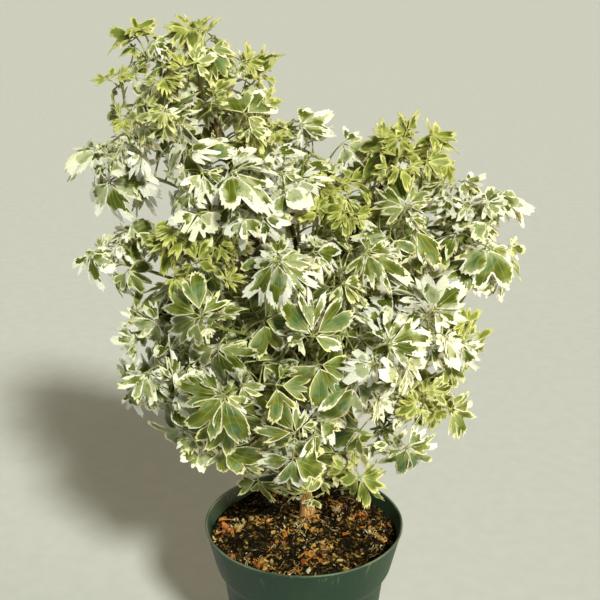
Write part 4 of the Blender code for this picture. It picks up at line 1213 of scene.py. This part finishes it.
def make_bark(limbs, finish):
    """Trunk and limbs: round bars along the limbs' lines. The radius has fine ridges along the bar and a
    raised, half-round scar every few millimetres where a leaf was, and the trunk's foot widens into the
    soil."""
    rng = np.random.default_rng([SEED, 500])
    nets = []
    for name, (line, radii) in limbs.items():
        steps, sides = TRUNK_NET if name == "trunk" else LIMB_NET
        fine = smooth_path(line, steps)
        run = np.append(0, np.cumsum(np.linalg.norm(np.diff(fine, axis=0), axis=1)))
        plain = np.interp(np.linspace(0, 1, steps), np.linspace(0, 1, len(radii)), radii)
        plain[-3:] *= (0.95, 0.75, 0.30)
        if name == "trunk":
            plain = plain + FOOT_FLARE * np.exp(-((fine[:, 2] - FOOT_FLARE_TOP) / FOOT_FLARE_REACH) ** 2)
        points, quads, caps, _ = tubes(fine[None], plain[None], sides)
        turn = np.tile(np.linspace(0, 1, sides, endpoint=False), steps)
        along = np.repeat(run, sides)
        places = np.arange(FIRST_SCAR, run[-1], SCAR_SPACING)
        places = places + rng.uniform(-SCAR_SHIFT, SCAR_SHIFT, len(places))
        face = (np.arange(len(places)) * SCAR_TURN + rng.uniform(0, 0.1, len(places))) % 1
        off = (along[:, None] - places) / SCAR_LENGTH
        half_round = (0.5 + 0.5 * np.cos(2 * np.pi * (turn[:, None] - face))) ** 1.5
        scar = (np.exp(-(off**2)) * half_round).max(1)
        ridge = (value_noise(turn * 8, along / 0.009, 1, 8) * 0.05
                 + value_noise(turn * 12, along / 0.003, 2, 12) * 0.035)
        centre = np.repeat(fine, sides, axis=0)
        body = points[: steps * sides]
        out = body - centre
        size = np.linalg.norm(out, axis=1, keepdims=True)
        grown = size * (1 + ridge[:, None]) + (SCAR_HEIGHT * scar)[:, None] * np.minimum(1, size / 0.003)
        points[: steps * sides] = centre + out / size * grown
        nets.append((points, quads, caps, np.append(scar, (0, 0))))
    made = piece("bark", *joined(nets), [finish], {"scar": np.concatenate([net[3] for net in nets])})
    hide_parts("trunk_and_limbs")


def turned(profile, sides):
    """Surface of a profile of (radius, height) turned round Z, closed on the axis at both ends. Its first
    and last points lie on the axis. A profile that runs outwards on top and down its outer side faces
    outwards."""
    (_, first), *rings, (_, last) = profile
    rings = np.array(rings)
    t = np.linspace(0, 2 * np.pi, sides, endpoint=False)
    x, y = rings[:, :1] * np.cos(t), rings[:, :1] * np.sin(t)
    body = np.stack([x, y, np.repeat(rings[:, 1:], sides, 1)], -1).reshape(-1, 3)
    quads = bands(len(rings), sides)[:, (0, 3, 2, 1)]
    pole = len(body)
    caps = np.vstack([fan(pole, 0, sides), fan(pole + 1, pole - sides, sides)[:, (1, 0, 2)]])
    return np.vstack([body, [(0, 0, first), (0, 0, last)]]), quads, caps


def rounded(profile, cut):
    """The profile with each inner corner replaced by a curve that starts and ends at most a cut away from
    it."""
    p = np.array(profile, float)
    made = [p[:1]]
    for before, corner, after in zip(p, p[1:], p[2:]):
        a = corner + (before - corner) * min(0.45, cut / np.linalg.norm(before - corner))
        b = corner + (after - corner) * min(0.45, cut / np.linalg.norm(after - corner))
        made.append(arc(a, b, corner, 4))
    return np.vstack([*made, p[-1:]])


def inner_profile():
    """Inner side of the pot from the rim down to the floor's corner."""
    collar_foot = POT_HEIGHT - COLLAR_HEIGHT
    return [(RIM_RADIUS - EDGE, POT_HEIGHT), (COLLAR_FOOT_RADIUS - WALL, collar_foot),
            (STEP_RADIUS - WALL, collar_foot - STEP_HEIGHT), (BASE_RADIUS - WALL, FLOOR)]


def make_pot(finish):
    """The pot: its wall's profile with a rolled lip and rounded corners, turned, with drain holes cut in
    the floor."""
    collar_foot = POT_HEIGHT - COLLAR_HEIGHT
    outside = [(RIM_RADIUS - LIP * 0.2, POT_HEIGHT), (RIM_RADIUS + LIP * 0.3, POT_HEIGHT - LIP * 0.4),
               (RIM_RADIUS + LIP * 0.3, POT_HEIGHT - 1.2 * LIP),
               (RIM_RADIUS - LIP * 0.3, POT_HEIGHT - 1.9 * LIP),
               (COLLAR_FOOT_RADIUS, collar_foot + 0.001),
               (STEP_RADIUS + 0.0012, collar_foot - STEP_HEIGHT * 0.6),
               (STEP_RADIUS, collar_foot - STEP_HEIGHT), (BASE_RADIUS, BASE_CORNER),
               (BASE_RADIUS - BASE_CORNER, 0)]
    inside = inner_profile()[::-1]
    points, quads, caps = turned(rounded([(0, FLOOR), *inside, *outside, (0, 0)], POT_ROUNDING), POT_SIDES)
    made = piece("nursery_pot", points, (quads, caps), [finish])
    cutters = bpy.data.collections.new("drain_cutters")
    for k in range(DRAIN_HOLES):
        turn = 2 * np.pi * (k + 0.5) / DRAIN_HOLES
        spot = np.array([DRAIN_RING_RADIUS * np.cos(turn), DRAIN_RING_RADIUS * np.sin(turn), 0])
        line = spot + np.array([(0, 0, -2 * FLOOR), (0, 0, 3 * FLOOR)])
        points, quads, caps, _ = tubes(line[None], np.full((1, 2), DRAIN_RADIUS), 24)
        mesh = bpy.data.meshes.new("drain_cutter")
        mesh.from_pydata(points.tolist(), [], [*quads.tolist(), *caps.tolist()])
        cutters.objects.link(bpy.data.objects.new("drain_cutter", mesh))
    cut = made.modifiers.new("drain_holes", "BOOLEAN")
    cut.operation = "DIFFERENCE"
    cut.operand_type = "COLLECTION"
    cut.collection = cutters
    cut.solver = "EXACT"
    bpy.context.view_layer.update()
    mesh = bpy.data.meshes.new_from_object(made.evaluated_get(bpy.context.evaluated_depsgraph_get()))
    made.modifiers.clear()
    made.data = mesh
    for cutter in list(cutters.objects):
        bpy.data.objects.remove(cutter)
    bpy.data.collections.remove(cutters)
    mesh.shade_smooth()
    mesh.set_sharp_from_angle(angle=np.radians(40))
    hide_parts("pot")


def soil_height(x, y):
    """Height of the soil's surface: a low mound round the trunk, shallow bumps away from it, crumbs of a few
    millimetres on top, and hollows."""
    level = POT_HEIGHT - SOIL_BELOW_RIM
    near = np.exp(-((x - TRUNK_FOOT[0]) ** 2 + (y - TRUNK_FOOT[1]) ** 2) / SOIL_MOUND_WIDTH**2)
    bump = np.sin(x * 190 + 0.7) * np.cos(y * 160 - 0.4) + 0.6 * np.sin(x * 330 - y * 280)
    crumbs = sum(height * value_noise(x / size, y / size, seed) for height, size, seed in SOIL_CRUMBS)
    return level + SOIL_MOUND * near + SOIL_BUMP * bump * (1 - near) + crumbs - HOLLOW_DEPTH * hollow(x, y)


def hollow(x, y):
    """How deep a point lies in the soil's hollows: 1 in the middle of one, falling to 0 as a bell curve."""
    return sum(np.exp(-((x - a) ** 2 + (y - b) ** 2) / size**2) for a, b, size in SOIL_HOLLOWS)


def make_soil(finish):
    """The soil: a turned body whose top is a fine height field that fades out at the wall. Gives its
    radius."""
    level = POT_HEIGHT - SOIL_BELOW_RIM
    (r_rim, z_rim), (r_foot, z_foot), (r_step, z_step), (r_floor, z_floor) = inner_profile()
    wall = np.interp(level, (z_foot, z_rim), (r_foot, r_rim)) - CLEARANCE
    base = z_floor + CLEARANCE
    top = [(wall * i / SOIL_RINGS, level) for i in range(SOIL_RINGS + 1)]
    side = [(r_foot - CLEARANCE, z_foot), (r_step - CLEARANCE, z_step), (r_floor - CLEARANCE, base)]
    points, quads, caps = turned([*top, *side, (0, base)], SOIL_SIDES)
    x, y, z = points.T
    on_top = z > level - 1e-6
    edge = np.clip((wall - np.hypot(x, y)) / WALL_FADE, 0, 1)
    points[on_top, 2] = (level + (soil_height(x, y) - level) * edge)[on_top]
    made = piece("soil_bed", points, (quads, caps), [finish])
    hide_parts("soil")
    return wall


def scatter(count, wall, rng, seed, patchy=0.8):
    """Places on the soil's disc, clear of the trunk, closer together in some patches, by a noise of 15 mm
    cells, and few in the hollows."""
    r = wall * np.sqrt(rng.uniform(0, 1, count * 5)) * 0.985
    t = rng.uniform(0, 2 * np.pi, count * 5)
    x, y = r * np.cos(t), r * np.sin(t)
    density = 0.5 + 0.8 * patchy * value_noise(x / 0.015, y / 0.015, seed) - 0.8 * hollow(x, y)
    off_trunk = np.hypot(x - TRUNK_FOOT[0], y - TRUNK_FOOT[1]) > TRUNK_KEEP
    free = off_trunk & (density > rng.uniform(0, 1, count * 5))
    return x[free][:count], y[free][:count]


def tilted(count, rng, most):
    """Frames of bits that lie on the soil: any turn, and a tilt of up to the most, as rows of three axes."""
    up = unit(np.column_stack([rng.uniform(-most, most, (count, 2)), np.ones(count)]))
    turn = rng.uniform(0, 2 * np.pi, count)
    way = np.column_stack([np.cos(turn), np.sin(turn), np.zeros(count)])
    way = unit(way - up * (way * up).sum(1, keepdims=True))
    return np.stack([way, np.cross(up, way), up], 1)


def make_bits(name, finish, net, x, y, sizes, rng, tilt, shade, lift, rough):
    """Many bits of one form, each with its own size in three directions, frame and uneven corners. They
    stand above the soil by the lift times their thickness."""
    form, faces = net
    count = len(x)
    frames = tilted(count, rng, tilt)
    local = form[None] * sizes[:, None] * rng.uniform(1 - rough, 1 + rough, (count, len(form), 3))
    z = soil_height(x, y) + sizes[:, 2] * lift
    points = np.einsum("npk,nkc->npc", local, frames) + np.column_stack([x, y, z])[:, None]
    made = piece(name, points.reshape(-1, 3), [repeat(group, count, len(form)) for group in faces], [finish],
                 {"shade": np.repeat(shade, len(form))}, sharp=30)


def plate_form():
    """A flat chip: six corners above, six below, and a raised middle on both sides."""
    t = np.arange(6) * np.pi / 3
    ring = np.column_stack([np.cos(t), np.sin(t)])
    level = np.full(6, 0.4)
    points = np.vstack([np.column_stack([ring * 0.86, level]), np.column_stack([ring, -level]),
                        [(0, 0, 0.62), (0, 0, -0.62)]])
    j = np.arange(6)
    k = (j + 1) % 6
    fans = np.vstack([fan(12, 0, 6), fan(13, 6, 6)[:, (0, 2, 1)]])
    return points, (np.column_stack([j, j + 6, k + 6, k]), fans)


def grain_form():
    """A rounded grain: the twenty faces of an icosahedron."""
    g = (1 + 5**0.5) / 2
    points = np.array([(-1, g, 0), (1, g, 0), (-1, -g, 0), (1, -g, 0), (0, -1, g), (0, 1, g), (0, -1, -g),
                       (0, 1, -g), (g, 0, -1), (g, 0, 1), (-g, 0, -1), (-g, 0, 1)]) / np.hypot(1, g)
    faces = np.array([(0, 11, 5), (0, 5, 1), (0, 1, 7), (0, 7, 10), (0, 10, 11), (1, 5, 9), (5, 11, 4),
                      (11, 10, 2), (10, 7, 6), (7, 1, 8), (3, 9, 4), (3, 4, 2), (3, 2, 6), (3, 6, 8),
                      (3, 8, 9), (4, 9, 5), (2, 4, 11), (6, 2, 10), (8, 6, 7), (9, 8, 1)])
    return points, (faces,)


def patch_tone_and_hollow_shade(x, y, most, rng):
    """A number from 0 to 1 for each bit, alike for bits that lie near each other: noise of 13 mm cells,
    lower in the hollows as painted shade, which makes bits there darker, and some of its own."""
    # Painted shade: bits in the hollows get a lower number, which their ramps turn darker.
    near = 0.5 + most * 1.5 * value_noise(x / 0.013, y / 0.013, 35) - 0.35 * hollow(x, y)
    return np.clip(near + rng.normal(0, 0.16, len(x)), 0, 1)


def make_litter(wall):
    """What lies on the soil: bark chips, also in heaps, dark crumbs, perlite, fibres and roots, and bits of
    dry leaf."""
    rng = np.random.default_rng([SEED, 800])
    chip_finish = bits_finish(
        "bark_chip", (0.0, 20, 17, 8), (0.28, 46, 38, 18), (0.44, 112, 72, 24), (0.56, 196, 120, 48),
        (0.66, 206, 158, 76), (0.80, 204, 176, 116), (0.90, 198, 186, 150), (1.0, 236, 228, 204))
    crumb_finish = bits_finish("peat_crumb", (0.0, 8, 7, 2), (0.55, 22, 18, 7), (0.80, 92, 66, 26),
                               (1.0, 190, 156, 98))
    x, y = scatter(CHIPS, wall, rng, 31)
    long = 0.0010 + 0.0032 * rng.beta(1.1, 2.4, len(x))
    long[:LARGE_CHIPS] = rng.uniform(0.0026, 0.0046, LARGE_CHIPS)
    shade = patch_tone_and_hollow_shade(x, y, 0.45, rng)
    for a, b, size, tone in CHIP_HEAPS:
        count = int(HEAP_CHIPS * size)
        x = np.append(x, rng.normal(a, 0.6 * size, count))
        y = np.append(y, rng.normal(b, 0.6 * size, count))
        long = np.append(long, rng.uniform(0.0014, 0.0036, count))
        shade = np.append(shade, np.clip(rng.normal(tone, 0.09, count), 0, 1))
    inside = np.minimum(1, WALL_KEEP * wall / np.hypot(x, y))
    x, y = x * inside, y * inside
    wide, thick = long * rng.uniform(0.22, 0.60, len(x)), rng.uniform(0.0003, 0.0008, len(x))
    sizes = np.column_stack([long, wide, thick])
    make_bits("bark_chips", chip_finish, plate_form(), x, y, sizes, rng, 1.3, shade, 1.1, 0.34)
    x, y = scatter(CRUMBS, wall, rng, 32, 0.5)
    sizes = (0.0004 + 0.0016 * rng.beta(1.2, 2.2, (len(x), 1))) * rng.uniform(0.5, 1.3, (len(x), 3))
    shade = patch_tone_and_hollow_shade(x, y, 0.40, rng)
    make_bits("peat_crumbs", crumb_finish, grain_form(), x, y, sizes, rng, 0.8, shade, 0.5, 0.36)
    x, y = scatter(PERLITE_GRAINS, wall, rng, 33, 1.0)
    sizes = (0.0004 + 0.0007 * rng.beta(1.2, 2.2, (len(x), 1))) * rng.uniform(0.5, 1.4, (len(x), 3))
    shade = np.zeros(len(x))
    make_bits("perlite_grains", perlite_finish(), grain_form(), x, y, sizes, rng, 1.2, shade, 0.5, 0.46)
    make_fibres(wall, rng)
    make_dry_leaves(wall, rng)


def make_fibres(wall, rng):
    """Fibres and thin roots: bent threads that lie on the soil and lift off it in the middle."""
    x, y = scatter(FIBRES, wall * 0.93, rng, 34)
    count = len(x)
    turn, bend = rng.uniform(0, 2 * np.pi, (count, 1)), rng.uniform(-2.4, 2.4, (count, 1))
    length = 0.003 + 0.013 * rng.beta(1.0, 2.4, (count, 1))
    t = np.linspace(-0.5, 0.5, 8)[None]
    px = x[:, None] + length * (t * np.cos(turn + bend * t))
    py = y[:, None] + length * (t * np.sin(turn + bend * t))
    inside = np.minimum(1, WALL_KEEP * wall / np.hypot(px, py).max(1))[:, None]
    px, py = px * inside, py * inside
    lift = rng.uniform(0.0002, 0.0030, (count, 1)) * (1 - (2 * t) ** 2) + 0.0004
    lines = np.stack([px, py, soil_height(px, py) + lift], -1)
    radii = rng.uniform(0.00012, 0.00032, (count, 1)) * (1 - 0.6 * np.abs(2 * t) ** 3)
    points, quads, caps, _ = tubes(lines, radii, 4)
    finish = bits_finish("fibre", (0.0, 110, 78, 36), (0.5, 184, 146, 84), (1.0, 230, 212, 166))
    shade = np.repeat(rng.uniform(0, 1, count), len(points) // count)
    made = piece("soil_fibres", points, (quads, caps), [finish], {"shade": shade})


def make_dry_leaves(wall, rng):
    """Bits of dry leaf: curled leaflets that lie on the soil, the last ones on each other. One that reaches
    past the wall moves back inwards."""
    spots = np.array(DRY_LEAVES)
    count = len(spots)
    frames = tilted(count, rng, 0.8)
    reach = rng.uniform(0.0055, 0.0095, count)
    x, y = spots.T
    hub = np.column_stack([x, y, soil_height(x, y) + 0.0018])
    hub[-PILED_LEAVES:, 2] += 0.0006 + 0.0007 * np.arange(PILED_LEAVES)
    zero, one = np.zeros(count), np.ones(count)
    rows = {"hub": hub, "forward": frames[:, 0], "side": frames[:, 1], "normal": frames[:, 2],
            "length": reach * 0.35, "angle": zero, "reach": reach, "gap": zero, "white": zero,
            "wide": 36.0 * one, "arch": LEAF_ARCH * one, "youth": 0.5 * one, "seed": rng.uniform(0, 1, count)}
    points, *_ = leaflet_points(rows, PLAIN_NET, rng)
    each = points.reshape(count, -1, 3)
    over = np.maximum(0, np.hypot(each[..., 0], each[..., 1]).max(1) - WALL_KEEP * wall)
    each[..., :2] -= (unit(spots) * over[:, None])[:, None]
    quads, triangles, size = leaflet_faces(PLAIN_NET["columns"], len(PLAIN_NET["rows"]))
    finish = bits_finish("dry_leaf", (0.0, 118, 62, 26), (0.5, 184, 106, 50), (1.0, 216, 154, 88))
    faces = [repeat(group, count, 2 * size) for group in (quads, triangles)]
    shade = np.repeat(rng.uniform(0, 1, count), 2 * size)
    made = piece("dry_leaf_bits", points, faces, [finish], {"shade": shade}, sharp=50)


def facing(place, target):
    """Turn of a light or camera at a place that looks at the target."""
    return (Vector(target) - Vector(place)).to_track_quat("-Z", "Y").to_euler()


def make_stage():
    """Pale floor, distant lights and the camera at the photo's angle. Beyond the floor the studio looks as
    pale as the floor does, but gives little light."""
    n = Nodes("studio_floor")
    grain = n.noise(n.spot(), 60.0, 3.0)
    shade = n.ramp(grain, (0.3, 204, 206, 213), (0.7, 209, 211, 218))
    finish = n.finish(shade, 0.85, Specular_IOR_Level=0.0)
    mesh = bpy.data.meshes.new("floor")
    corners = [(x * FLOOR_REACH, y * FLOOR_REACH, 0) for x, y in ((-1, -1), (1, -1), (1, 1), (-1, 1))]
    mesh.from_pydata(corners, [], [(0, 1, 2, 3)])
    mesh.materials.append(finish)
    floor = added("floor", mesh)
    for name, place, wide, power, shade in LIGHTS:
        data = bpy.data.lights.new(name, "SUN")
        data.angle = np.radians(wide)
        data.energy = power
        data.color = colour(*shade)[:3]
        light = added(name, data)
        light.location = place
        light.rotation_euler = facing(place, LIGHT_TARGET)
    world = bpy.data.worlds.new("studio")
    world.use_nodes = True
    tree = world.node_tree
    tree.nodes["Background"].inputs["Color"].default_value = colour(223, 225, 212)
    seen, strength = tree.nodes.new("ShaderNodeLightPath"), tree.nodes.new("ShaderNodeMath")
    strength.operation = "MULTIPLY_ADD"
    strength.inputs[1].default_value = WORLD_SEEN
    strength.inputs[2].default_value = WORLD_LIGHT
    tree.links.new(seen.outputs["Is Camera Ray"], strength.inputs[0])
    tree.links.new(strength.outputs[0], tree.nodes["Background"].inputs["Strength"])
    bpy.context.scene.world = world
    data = bpy.data.cameras.new("camera")
    data.angle = np.radians(CAMERA_VIEW)
    data.clip_start = 0.01
    camera = added("camera", data)
    camera.location = CAMERA_PLACE
    camera.rotation_euler = facing(CAMERA_PLACE, CAMERA_TARGET)
    bpy.context.scene.camera = camera
    bpy.context.scene.view_settings.view_transform = "Standard"


def main():
    limbs, sprays, inner = grow()
    leaf, stalk = leaf_finish(), stalk_finish()
    for name, spray in sprays.items():
        make_foliage(name, spray, [leaf, stalk], "leafy_stem_" + name)
    make_foliage("inner", inner, [leaf, stalk])
    make_bark(limbs, bark_finish())
    make_pot(pot_finish())
    make_litter(make_soil(soil_finish()))
    make_stage()


main()
